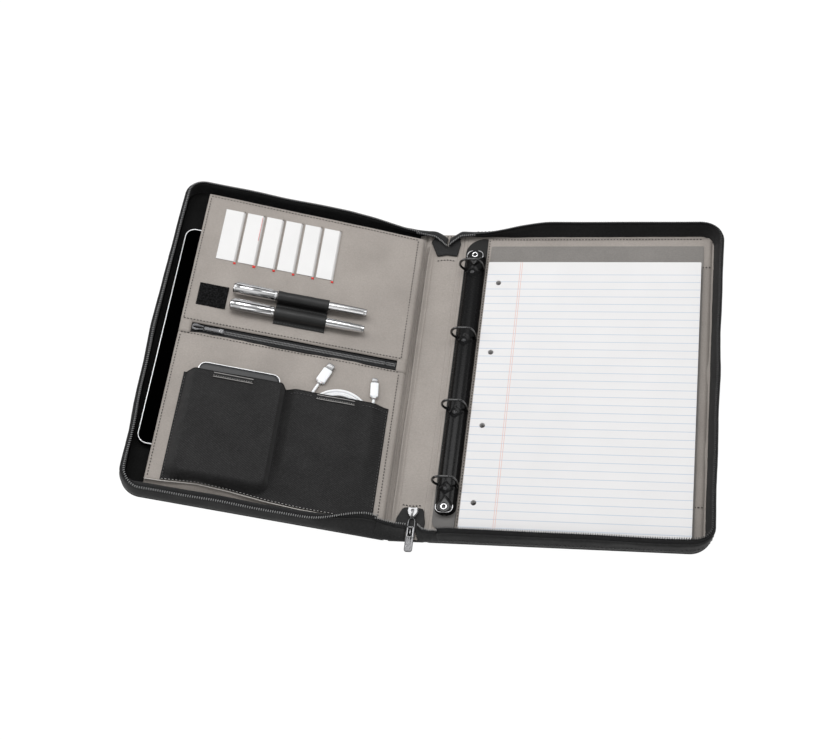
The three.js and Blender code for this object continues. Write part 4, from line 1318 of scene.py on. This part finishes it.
def build_rings():
    for side, side_line in RING_LINES.items():
        for number, row in enumerate(RING_ROWS, 1):
            line = smooth_line([(BINDER_X + x, row, z) for x, z in side_line], 0.8)
            tube_piece(f"{side}_ring_wire_{number}", line, 1.25, RING_ENAMEL, sides=16,
                       body=f"{side}_ring_rail", replaces=[f"{side}_half_ring_{number}"])
    for node in ("left_ring_blade", "right_ring_blade"):
        give(node, STEEL)


# (distance from the lever's outer end, half width)
LEVER_HALF_WIDTHS = [(0.0, 3.2), (0.5, 5.0), (1.6, 6.6), (3.4, 7.7), (6.0, 8.1), (8.5, 7.5),
                     (11.5, 5.5), (14.0, 3.5), (16.2, 1.6), (16.9, 0.4)]
LEVER_DISH = 5.2                    # distance of the dish and its eyelet from the outer end


def build_levers():
    """Dished opening levers with a bright rim round the wide end and an eyelet in the dish."""
    line = smooth_line([(along, half, 0) for along, half in LEVER_HALF_WIDTHS], 0.9)[:, :2]
    for word, inward in (("near", 1), ("far", -1)):
        low, high = box_mm(f"{word}_ring_lever")
        outer_y = low[1] if word == "near" else high[1]
        base = low[2]
        t = np.linspace(-1, 1, 19)
        rows = []
        for along, half in line:
            lift = 1.9 + 0.5 * math.sin(math.pi * min(along / 17, 1))
            x = t * half
            z = base + lift * (1 - np.abs(t) ** 3.2) + 0.05
            dish = np.exp(-((x / 3.6) ** 2 + ((along - LEVER_DISH) / 3.4) ** 2)) * 0.9
            y = np.full_like(x, outer_y + inward * along)
            rows.append(np.stack([BINDER_X + x, y, z - dish], -1))
        rows = np.array(rows)
        sheet_piece(f"{word}_lever_shell", rows, LEVER_ENAMEL, 0.9, body=f"{word}_ring_lever",
                    replaces=[f"{word}_ring_lever"])
        wide_end = line[line[:, 0] < 8.5]
        rim = [(BINDER_X + sign * half, outer_y + inward * along, base + 0.75)
               for sign, part in ((-1, wide_end[::-1]), (1, wide_end)) for along, half in part]
        tube_piece(f"{word}_lever_rim", rim, 0.42, STEEL, sides=10, body=f"{word}_ring_lever")
        eyelet = [(BINDER_X + x, outer_y + inward * LEVER_DISH + y, base + 1.85)
                  for x, y in circle(2.5, 28)]
        tube_piece(f"{word}_lever_eyelet", eyelet, 0.75, CHROME, sides=12, closed=True,
                   body=f"{word}_ring_lever")


build_plate()
build_rings()
build_levers()


# ---------------------------------------------------------------- back cover's contents
def build_pad_side():
    """The grey pocket panel under the pad, and the pad's and strip's finishes."""
    low, high = box_mm("pad_pocket_panel")
    x = np.linspace(low[0], high[0], 70)
    y = np.linspace(low[1], high[1], 96)
    grid_x, grid_y = np.meshgrid(x, y, indexing="ij")
    height = high[2] + 0.12 * crumple(grid_x, grid_y, 70, 31)
    height = height + 0.08 * crumple(grid_x, grid_y, 25, 32) * ramp(grid_y, 140, 160)
    height = height + 0.5 * ramp(grid_y, 150, 163) - 0.9 * ramp(grid_x, high[0] - 9, high[0])
    sheet_piece("pad_pocket_cloth", np.stack([grid_x, grid_y, height], -1), LINING, 0.6, body="back_cover",
                replaces=["pad_pocket_panel"])
    hem = np.array([(low[0] + 1.6, t, high[2] + 0.35) for t in np.linspace(low[1] + 2, high[1] - 2, 60)])
    top = np.array([(t, high[1] - 2.2, high[2] + 0.75) for t in np.linspace(low[0] + 4, high[0] - 8, 60)])
    seam_low, seam_high = high[0] - 9.0, high[0] + 0.5
    seams = [np.array([(t, y_row, high[2] + 0.4) for t in np.linspace(seam_low, seam_high, 8)])
             for y_row in (-129.0, 128.0)]
    stitch_rows("pad_pocket_stitching", [hem, top] + seams, UP, DARK_THREAD, body="back_cover")

    give("ring_mount_strip", STRIP, 0.6)
    give("pad_backing_board", BOARD, 0.25)
    give("writing_pad", PAPER, 0.2)


build_pad_side()


# ---------------------------------------------------------------- organiser panels
UPPER_TOP = 12.7                    # n of the upper panel's surface
LOWER_TOP = 9.8
SLITS = [188.5 - 19.6 * k for k in range(6)]
CARD_LOW_Y = 84.0
CARD_HIGH_Y = 143.0
WINDOW_LOW_Y, WINDOW_HIGH_Y = 0.2, 9.2          # edges of the cloth on each side of the inner zip
WINDOW_START, WINDOW_END = 12.7, 216.7


def far_y(s):
    """The upper panel's far edge, drawn in towards the spine."""
    return np.interp(s, [8, 60, 227], [154.2, 155.6, 158.4])


def hem_y(s):
    """The lower panel's near hem wanders in and out along the zip."""
    return np.interp(s, [15, 45, 85, 115, 150, 180, 212, 228],
                     [-161.5, -162.2, -162, -160.4, -156.8, -155.2, -157.8, -158.3])


def panel_section(top, samples):
    """(s, n) along a panel: flat from its outer edge, then rolled down to the lining."""
    flat = [(s, top) for s in samples]
    roll = []
    for step in range(1, 9):
        angle = math.pi / 2 * step / 8
        roll.append((PANEL_START + 5 - 5 * math.sin(angle), top - 5 + 5 * math.cos(angle)))
    down = [(PANEL_START, n) for n in np.linspace(top - 6.2, 0.6, 4)]
    return np.array(flat + roll + down)


def panel_piece(name, node, top, low_y, high_y, drops, s_samples, seed, keep=None, marks=()):
    """low_y gives the near edge at each s; drops are (distance from an edge, drop) near and far."""
    section = panel_section(top, s_samples)
    share = np.unique(np.concatenate([np.linspace(0, 1, 56), [0.012, 0.03, 0.97, 0.988]]))
    start, end = low_y(section[:, 0]), high_y(section[:, 0])
    furthest = end.max()
    y = start[:, None] + (furthest - start)[:, None] * share[None]
    y = y - (furthest - end)[:, None] * np.clip((y - furthest + 13) / 13, 0, 1)
    for mark in marks:
        y[:, np.abs(y[0] - mark).argmin()] = mark
    grid_s = np.repeat(section[:, :1], y.shape[1], 1)
    grid_n = np.repeat(section[:, 1:], y.shape[1], 1)
    near_drop, far_drop = drops
    drop = np.interp(y - start[:, None], *zip(*near_drop)) + np.interp(end[:, None] - y, *zip(*far_drop))
    calm = ramp(grid_n, top - 6, top)
    if marks:
        by_cards = ramp(y, marks[0] - 14, marks[0]) * (1 - ramp(y, marks[1], marks[1] + 8))
        calm = calm * (1 - 0.9 * by_cards)
    else:
        calm = calm * (0.2 + 0.8 * ramp(y, -60, -36))
    pucker = 0.34 * crumple(grid_s, y, 85, seed) + 0.13 * crumple(grid_s, y, 24, seed + 1)
    n = np.maximum(grid_n + calm * pucker - drop * (grid_n / top), 0.4)
    points = on_front(np.stack([grid_s, y, n], -1))
    keep_cell = None if keep is None else (lambda r, c: keep(section, y[r], r, c))
    return sheet_piece(name, points, LINING, 0.8, up=FRONT_UP, keep=keep_cell, body="front_cover",
                       replaces=[node])


def outside_slits(section, y, r, c):
    """False for the cells of the upper panel that a card's slit opens."""
    if not (y[c] > CARD_LOW_Y - 0.9 and y[c + 1] < CARD_HIGH_Y + 0.9):
        return True
    middle = (section[r, 0] + section[r + 1, 0]) / 2
    return all(abs(middle - s) > 0.75 for s in SLITS)


def build_panels():
    plain = list(np.arange(PANEL_END, PANEL_START + 8, -3.0))
    by_slits = [s + side for s in SLITS for side in (-0.8, 0.8)]
    samples = sorted(set(plain + by_slits), reverse=True)
    upper_drops = ([(0, 1.5), (3, 0.5), (8, 0)], [(0, 1.2), (4, 0.2), (10, 0)])
    panel_piece("upper_panel_cloth", "organiser_panel_upper", UPPER_TOP,
                lambda s: np.full(np.shape(s), WINDOW_HIGH_Y), far_y, upper_drops, samples, 41,
                keep=outside_slits, marks=(CARD_LOW_Y - 0.6, CARD_HIGH_Y + 0.6))
    lower_drops = ([(0, 0.5), (3, 0.1), (6, 0)], [(0, 0.3), (2, 0), (6, 0)])
    panel_piece("lower_panel_cloth", "organiser_panel_lower", LOWER_TOP, hem_y,
                lambda s: np.full(np.shape(s), WINDOW_LOW_Y), lower_drops, plain, 51)
    strips = ((WINDOW_LOW_Y - 2.5, LOWER_TOP + 0.1), (WINDOW_LOW_Y + 1, LOWER_TOP + 0.35), (4.5, 10.7),
              (WINDOW_HIGH_Y - 1, 11.6), (WINDOW_HIGH_Y + 2, UPPER_TOP - 0.3))
    for word, run in (("left", [PANEL_END, 223.0, 219.0, WINDOW_END - 1]),
                      ("right", [WINDOW_START + 1.5, 11.5, 9.0])):
        rows = []
        for y, n in strips:
            section = [(s, n) for s in run] if word == "left" else panel_section(n, run)
            rows.append([(s, y, max(height, 0.5)) for s, height in section])
        sheet_piece(f"window_{word}_cloth", on_front(rows), LINING, 0.8, up=FRONT_UP, body="front_cover")

    outer, inner = PANEL_END - 2.4, 11.0
    run = np.linspace(outer, inner, 80)
    rows = [
        [(s, WINDOW_HIGH_Y + 2.6, UPPER_TOP - 0.35) for s in run],
        [(s, far_y(s) - 3.2, UPPER_TOP - 0.1) for s in run],
        [(outer, y, UPPER_TOP + 0.2) for y in np.linspace(WINDOW_HIGH_Y + 3, far_y(outer) - 4, 60)],
        [(inner, y, UPPER_TOP + 0.2) for y in np.linspace(WINDOW_HIGH_Y + 3, far_y(inner) - 4, 60)],
        [(s, WINDOW_LOW_Y - 2.6, LOWER_TOP + 0.3) for s in run],
        [(outer, y, LOWER_TOP + 0.3) for y in np.linspace(-155, WINDOW_LOW_Y - 3, 60)],
        [(inner, y, LOWER_TOP + 0.3) for y in np.linspace(-158, WINDOW_LOW_Y - 3, 60)],
    ]
    stitch_rows("panel_stitching", [on_front(row) for row in rows], FRONT_UP, DARK_THREAD,
                body="front_cover")

    s = np.linspace(PANEL_END, 8, 70)
    edge = on_front(np.column_stack([s, hem_y(s) - 0.1, np.full(len(s), LOWER_TOP - 0.2)]))
    tube_piece("lower_hem_edge", edge, 0.42, PALE_BINDING, sides=8, body="front_cover")
    rows = []
    for t in np.linspace(0, 1, 9):
        y = hem_y(s) * (1 - t) - 169.6 * t + 1.2 * (1 - t)
        n = 8.9 - 8.0 * t ** 0.8 + 0.35 * crumple(s, 40 * t + 0 * s, 30, 57) * math.sin(math.pi * t)
        rows.append(np.column_stack([s, y, n]))
    sheet_piece("lower_hem_gusset", on_front(rows), LINING, 0.6, up=FRONT_UP, body="front_cover")


TABLET_LOW, TABLET_HIGH = (72.2, -123.5), (242.4, 116.5)


def tablet_loop(margin, radius, per_corner=8):
    """The tablet's outline, drawn in by margin."""
    (low_s, low_y), (high_s, high_y) = TABLET_LOW, TABLET_HIGH
    return rounded_loop((low_s + margin, low_y + margin), (high_s - margin, high_y - margin), (radius,) * 4,
                        per_corner)


def build_sleeve_and_tablet():
    edge = dense_outline(rounded_loop((8, -166), (COVER_WIDTH - 4.5, 166), (2, 16, 16, 2), 12), 12)
    plate_piece("sleeve_lining_cloth", edge, edge_profile(HINGE_Z + 0.35, HINGE_Z + 1.3, 0.3), FRONT.place,
                SLEEVE, body="front_cover", replaces=["tablet_sleeve_lining"])
    plate_piece("tablet_body", tablet_loop(0, 10), edge_profile(1.6, 7.2, 1.4), on_front, GLASS,
                body="front_cover", replaces=["tablet"])
    rim = tablet_loop(0.7, 9.5, 12)(0.0)
    tube_piece("tablet_rim", on_front([(x, y, 7.3) for x, y in rim]), 0.62, SILVER_RIM, sides=12,
               closed=True, body="front_cover", slot="pen_metal")
    plate_piece("tablet_glass", tablet_loop(1.4, 8.8), edge_profile(6.4, 7.8, 0.3), on_front, GLASS,
                body="front_cover")


INNER_ZIP_Y = 4.5                   # the line where the teeth meet


def build_inner_zip():
    """Chain between the two panels, with a stop, a slider and its pull."""
    rows = []
    for off, height in ((-5.4, 9.55), (-3.3, 9.9), (-1.9, 9.55), (0, 9.55), (1.9, 9.55), (3.3, 9.9),
                        (5.4, 9.55)):
        rows.append([(s, INNER_ZIP_Y + off, height) for s in np.linspace(216.5, WINDOW_START, 120)])
    sheet_piece("inner_zip_tape", on_front(rows), TAPE, 0.5, up=FRONT_UP, body="front_cover",
                replaces=["inner_zip_chain"])
    along = np.arange(213.0, 15.0, -1.35)
    for word, sign in (("upper", 1), ("lower", -1)):
        starts = on_front([(s, INNER_ZIP_Y + sign * 0.15, 10.2) for s in along + 0.3 * sign])
        ends = on_front([(s, INNER_ZIP_Y + sign * 1.9, 10.05) for s in along - 0.3 * sign])
        capsules(f"inner_zip_{word}_teeth", starts, ends, FRONT_UP, 0.5, 0.3, NYLON_PAINTED_HIGHLIGHT, body="front_cover")

    stop = on_front([(25.0, INNER_ZIP_Y + across, 10.55) for across in (-1.9, 1.9)])
    tube_piece("inner_zip_stop", stop, 0.7, DARK_METAL, sides=10, body="front_cover", slot="zip_nylon")

    def wing(name, stations, low, high, node):
        outline = [(s, INNER_ZIP_Y + w) for s, w in reversed(stations)]
        outline += [(s, INNER_ZIP_Y - w) for s, w in stations]
        points, faces = flat_body(outline, low, high, on_front)
        piece = make_piece(name, points, faces, DARK_METAL, body=node, replaces=[node], sharp_angle=40)
        soften(piece, 0.35)

    wing("inner_slider_wing", [(215, 1.6), (214.4, 3.1), (211, 3.7), (207.5, 2.6), (204, 2.3)],
         11.3, 12.5, "inner_zip_slider")
    bridge = on_front([(s, INNER_ZIP_Y, n)
                       for s, n in ((213.4, 12.3), (212.2, 13.7), (207.4, 13.9), (204.6, 12.4))])
    tube_piece("inner_slider_bridge", smooth_line(bridge, 0.6), 0.8, DARK_METAL, sides=12,
               body="inner_zip_slider")
    wing("inner_pull_bar", [(203.4, 1.2), (202, 2.0), (197, 1.7), (190.5, 2.1), (185, 2.6), (184.1, 1.9)],
         11.5, 12.5, "inner_zip_pull")
    ring = [(187.2 + x, INNER_ZIP_Y + y, 12.55) for x, y in circle(1.3, 24)]
    tube_piece("inner_pull_eyelet", on_front(ring), 0.35, STEEL, sides=8, closed=True,
               body="inner_zip_pull", slot="pull_paint")


def build_patch():
    """The hook patch: a ragged pile, low at its edges."""
    low_s, high_s, low_y, high_y = 188.0, 216.5, 28.8, 53.6
    s = np.linspace(low_s, high_s, 84)
    y = np.linspace(low_y, high_y, 74)
    grid_s, grid_y = np.meshgrid(s, y, indexing="ij")
    random = np.random.default_rng(7)
    edge = np.minimum.reduce([grid_s - low_s, high_s - grid_s, grid_y - low_y, high_y - grid_y])
    tuft = random.uniform(-1, 1, grid_s.shape)
    height = UPPER_TOP + 0.9 + 0.4 * tuft * ramp(edge, 0.0, 0.8) - 0.4 * (1 - ramp(edge, 0, 1.0))
    grid_s = grid_s + random.uniform(-0.2, 0.2, grid_s.shape)
    grid_y = grid_y + random.uniform(-0.2, 0.2, grid_s.shape)
    sheet_piece("hook_patch_pile", on_front(np.stack([grid_s, grid_y, height], -1)), HOOK_PILE, 0.7,
                up=FRONT_UP, body="front_cover", replaces=["hook_and_loop_patch"])


def build_cards():
    """The cards' finish, a welt beside each slit, and red bar tacks at the slits' near ends."""
    for number, s in enumerate(SLITS, 1):
        give(f"card_{number}", CARD)
        line = [(s - 1.1, y, UPPER_TOP + 0.3) for y in np.linspace(CARD_LOW_Y - 1.5, CARD_HIGH_Y + 1.5, 20)]
        tube_piece(f"card_slit_welt_{number}", on_front(line), 0.4, LINING, sides=8, body="front_cover")
    starts, ends = [], []
    for number, s in enumerate(SLITS):
        bars, top_y = (5, -0.1) if number == 1 else (4, -0.6)
        for k in range(bars):
            starts.append(on_front((s - 1.0 + k * 0.55, CARD_LOW_Y - 3.0, UPPER_TOP + 0.45)))
            ends.append(on_front((s - 1.0 + k * 0.55, CARD_LOW_Y + top_y, UPPER_TOP + 0.45)))
    capsules("card_bar_tacks", np.array(starts), np.array(ends), FRONT_UP, 0.42, 0.3, RED_THREAD,
             body="front_cover")
    edge = on_front([(SLITS[1] + 1.2, CARD_HIGH_Y - reach, UPPER_TOP + 0.75) for reach in (30, 16, 2)])
    tube_piece("card_edge_stripe", edge, 0.2, RED_THREAD, sides=8, body="front_cover")


build_panels()
build_sleeve_and_tablet()
build_inner_zip()
build_patch()
build_cards()


# ---------------------------------------------------------------- pens and loops
PEN_HEIGHT = 19.6                   # n of a pen's middle line
PENS = {"upper": 50.5, "lower": 32.0}
# (radius, s) along a pen, from the barrel's blunt end to the cap's
PEN_BARREL = [(0.01, 51.5), (3.2, 51.6), (3.75, 52.1), (3.85, 53.2), (3.6, 53.4), (3.6, 53.9), (3.9, 54.2),
              (3.95, 55.2), (4.3, 68.0), (4.5, 80.0), (4.5, 139.6), (4.2, 140.1), (0.01, 140.2)]
PEN_CAP = [(0.01, 140.5), (4.9, 140.5), (5.4, 140.9), (5.4, 142.6), (5.2, 142.8), (5.2, 143.3),
           (5.45, 143.5), (5.5, 170.0), (5.45, 180.2), (5.1, 180.5), (5.1, 181.1), (5.4, 181.4),
           (5.2, 182.8), (4.2, 183.7), (2.2, 184.0), (0.01, 184.0)]
LOOP_START, LOOP_END = 89.5, 139.9


def build_pens():
    """Turned barrel and cap with a tapered clip, rolled a little to one side."""
    along = on_front([(1, 0, 0)])[0] - on_front([(0, 0, 0)])[0]
    for word, y in PENS.items():
        origin = on_front((0, y, PEN_HEIGHT))
        body = f"{word}_pen"
        for part, profile in (("barrel", PEN_BARREL), ("cap", PEN_CAP)):
            lathe_piece(f"{word}_pen_{part}_turned", profile, origin, along, PEN_METAL, body=body,
                        replaces=[f"{word}_pen_{part}"])
        sections = []
        turn = math.radians(24)
        for s, lift, half in ((181.6, 5.0, 1.2), (181.0, 6.2, 1.5), (178.5, 6.7, 1.6), (168, 6.6, 1.5),
                              (152, 6.2, 1.25), (146.5, 5.95, 1.1), (145.6, 5.6, 0.9)):
            ring = []
            for u, h in ((-1, -0.35), (-1, 0.25), (-0.5, 0.5), (0.5, 0.5), (1, 0.25), (1, -0.35)):
                across, out = u * half, lift + h
                ring.append((s, y + across * math.cos(turn) + out * math.sin(turn),
                             PEN_HEIGHT - across * math.sin(turn) + out * math.cos(turn)))
            sections.append(ring)
        clip = loft_piece(f"{word}_pen_clip", on_front(sections), CHROME, body=body, slot="pen_metal",
                          sharp_angle=45)
        soften(clip, 0.15, 2)


def build_loops():
    """Leather-like elastic: feet sewn to the panel, a snug arch over each barrel."""
    for word, y in PENS.items():
        section = [(-8.9, 13.6), (-7.6, 13.75), (-6.4, 14.0), (-5.6, 14.9), (-5.35, 16.6), (-5.5, 18.6)]
        for step in range(1, 12):
            angle = math.pi - math.pi * step / 12
            section.append((5.6 * math.cos(angle), PEN_HEIGHT + 5.55 * math.sin(angle)))
        section += [(5.5, 18.6), (5.35, 16.6), (5.6, 14.9), (6.4, 14.0), (7.6, 13.75), (8.9, 13.6)]
        rows = []
        for a in np.linspace(LOOP_END, LOOP_START, 40):
            edge = min(LOOP_END - a, a - LOOP_START)
            flare = 0.25 * math.exp(-edge / 1.5)
            rows.append([(a, y + v * (1 + flare / 9), n + (flare if n > 15 else 0)) for v, n in section])
        rows = np.array(rows)
        rows[..., 2] += 0.12 * crumple(rows[..., 0], rows[..., 1] * 3, 22, 61) * ramp(rows[..., 2], 14, 20)
        sheet_piece(f"{word}_loop_band", on_front(rows), LOOP_LEATHER, 0.55, up=FRONT_UP,
                    body="front_cover", replaces=[f"{word}_pen_loop"])
        lines = [on_front([(a, y + sign * 7.4, 14.05)
                           for a in np.linspace(LOOP_END - 1.4, LOOP_START + 1.5, 30)])
                 for sign in (-1, 1)]
        stitch_rows(f"{word}_loop_stitching", lines, FRONT_UP, BLACK_THREAD, length=1.7, space=1.1,
                    radius=0.32, body="front_cover")


build_pens()
build_loops()


# ---------------------------------------------------------------- power bank and pockets
BANK_LOW, BANK_HIGH = (121.5, -147.5), (200.5, -35.0)
POCKET_MOUTH = -45.0
POCKET_START, POCKET_END = 15.6, 213.0


def build_power_bank():
    edge = rounded_loop(BANK_LOW, BANK_HIGH, (8,) * 4)
    plate_piece("power_bank_housing", edge, edge_profile(10.5, 22.0, 3.2, 6), on_front, BANK, crown=0.3,
                body="power_bank", replaces=["power_bank"])
    rim = np.column_stack([edge(1.0), np.full(len(edge(1.0)), 20.7)])
    tube_piece("power_bank_rim", on_front(rim), 0.75, SILVER_RIM, sides=12, closed=True, body="power_bank",
               slot="bank")


def pocket_height(s, y):
    """n of the pockets' cloth: tight over the bank, slack over the cable, sewn down at three sides."""
    base = LOWER_TOP + 0.55
    hem = hem_y(s) + 1.0
    grow = 1.4
    low_s, high_s, low_y = BANK_LOW[0] - grow, BANK_HIGH[0] + grow, BANK_LOW[1] - grow
    corner = 6.0
    foot_left = np.interp(y, [-155, POCKET_MOUTH], [10.8, 8.4])
    foot_down = np.clip(low_y - hem, 4.0, 5.2)
    over_left = np.clip(s - (high_s - corner), 0, None)
    over_right = np.clip(low_s + corner - s, 0, None)
    over_down = np.clip(low_y + corner - y, 0, None)
    sideways = np.maximum(over_left, over_right)
    reach = np.hypot(sideways, over_down) - corner
    foot_side = np.where(over_left > 0, foot_left, 4.6)
    weight = over_down / np.maximum(sideways + over_down, 1e-6)
    foot = foot_side * (1 - weight) + foot_down * weight
    share = np.clip(reach / foot, 0, 1)
    over_bank = 13.7 * (1 - share ** (1.35 + 0.9 * weight))
    slack = 7.4 * ramp(y, -158, -88) ** 0.7
    slack = slack * ramp(s, POCKET_START, POCKET_START + 17) * (1 - ramp(s, 104, 117.5))
    slack = slack + 0.5 * crumple(s, y, 46, 81) * ramp(slack, 0.5, 4)
    return base + np.hypot(over_bank, slack)


def build_pockets():
    """Both pockets are one cloth, sewn down between the bank and the cable."""
    runs = ((POCKET_START, 112, 2.2), (112, 124, 0.6), (124, 198, 2.5), (198, POCKET_END, 0.8))
    s = np.unique(np.concatenate([np.arange(*run) for run in runs] + [[POCKET_END]]))[::-1]
    share = 1 - np.linspace(0, 1, 100) ** 1.7
    mouth = POCKET_MOUTH + 0.4 * np.sin(s / 17)
    y = (hem_y(s) + 0.9)[:, None] * (1 - share) + mouth[:, None] * share
    grid_s = np.repeat(s[:, None], y.shape[1], 1)
    height = pocket_height(grid_s, y)
    ripple = 0.16 * crumple(grid_s, y, 15, 72) + 0.3 * crumple(grid_s, y, 44, 71)
    height = height + ripple * ramp(height, LOWER_TOP + 1.2, LOWER_TOP + 6) * ramp(mouth[:, None] - y, 0, 9)
    height = np.maximum(height, LOWER_TOP + 0.5)
    points = on_front(np.stack([grid_s, y, height], -1))
    sheet_piece("pocket_cloth", points, POCKET, 0.7, up=FRONT_UP, body="front_cover",
                replaces=["power_bank_pocket", "cable_pocket"])

    lip = on_front(np.column_stack([s, mouth, pocket_height(s, mouth) - 0.2]))
    tube_piece("pocket_mouth_lip", resample(lip, 2.0), 0.6, POCKET, sides=10, body="front_cover")

    def over(points, lift):
        p = np.array(points, float)
        return on_front(np.column_stack([p, pocket_height(p[:, 0], p[:, 1]) + lift]))

    line = np.linspace(POCKET_END - 1.0, POCKET_START + 1.0, 90)
    stitch_rows("pocket_floor_stitching", [over(np.column_stack([line, hem_y(line) + 1.2]), 1.0)], FRONT_UP,
                GREY_THREAD, length=2.1, space=1.2, radius=0.36, body="front_cover")
    sides = [over([(POCKET_END - 1.6, y) for y in np.linspace(-154, -47, 60)], 0.45),
             over([(POCKET_START + 1.6, y) for y in np.linspace(-158, -47, 60)], 0.4),
             over([(s, -49.0) for s in np.linspace(POCKET_START + 3, 44, 20)], 0.35),
             over([(s, -49.0) for s in np.linspace(90, 112, 20)], 0.35)]
    stitch_rows("pocket_side_stitching", sides, FRONT_UP, BLACK_THREAD, length=2.0, space=1.2,
                radius=0.34, body="front_cover")

    y = POCKET_MOUTH - 1.6
    for name, low_s, high_s in (("bank_trim", 147, 184.5), ("cable_trim", 49, 85.5)):
        across = np.linspace(high_s, low_s, 26)
        rows = [over([(a, y - step) for a in across], lift)
                for step, lift in ((0.0, 0.2), (0.3, 0.75), (4.4, 0.75), (4.8, 0.2))]
        sheet_piece(f"{name}_band", np.array(rows), SHELL, 0.4, up=FRONT_UP, body="front_cover")
        for word, step in (("upper", 0.3), ("lower", 4.5)):
            tube_piece(f"{name}_{word}_cord", over([(a, y - step) for a in across], 0.85), 0.34,
                       GREY_THREAD, sides=8, body="front_cover")
        stitch_rows(f"{name}_stitching", [over([(a, y - 3.4) for a in across], 1.0)], FRONT_UP, GREY_THREAD,
                    length=1.3, space=0.9, radius=0.26, body="front_cover")


def declare_sheets():
    """The cloths sewn or glued over the boards, with the size each was cut to."""
    panel_run = PANEL_END - PANEL_START + 6.5          # with the roll down to the spine
    pad_low, pad_high = box_mm("pad_pocket_panel")
    cuts = {
        "pocket_cloth": (POCKET_END - POCKET_START + 24, POCKET_MOUTH + 158 + 14, "organiser_panel_lower"),
        "upper_panel_cloth": (panel_run, far_y(120) - WINDOW_HIGH_Y, "front_cover_lining"),
        "lower_panel_cloth": (panel_run, WINDOW_LOW_Y + 159, "front_cover_lining"),
        "lower_hem_gusset": (PANEL_END - 8, 14.0, "front_cover_lining"),
        "pad_pocket_cloth": (pad_high[0] - pad_low[0], pad_high[1] - pad_low[1], "back_cover_lining"),
        "back_lining_cloth": (COVER_WIDTH - 4, 2 * HALF_LENGTH - 6.4, "back_cover_shell"),
        "front_lining_cloth": (PANEL_END - 0.6, 2 * HALF_LENGTH - 6.4, "front_cover_shell"),
        "spine_lining_cloth": (SPINE_HIGH - SPINE_LOW + 4, 2 * HALF_LENGTH - 5.5, "spine_shell"),
    }


build_power_bank()
build_pockets()
declare_sheets()
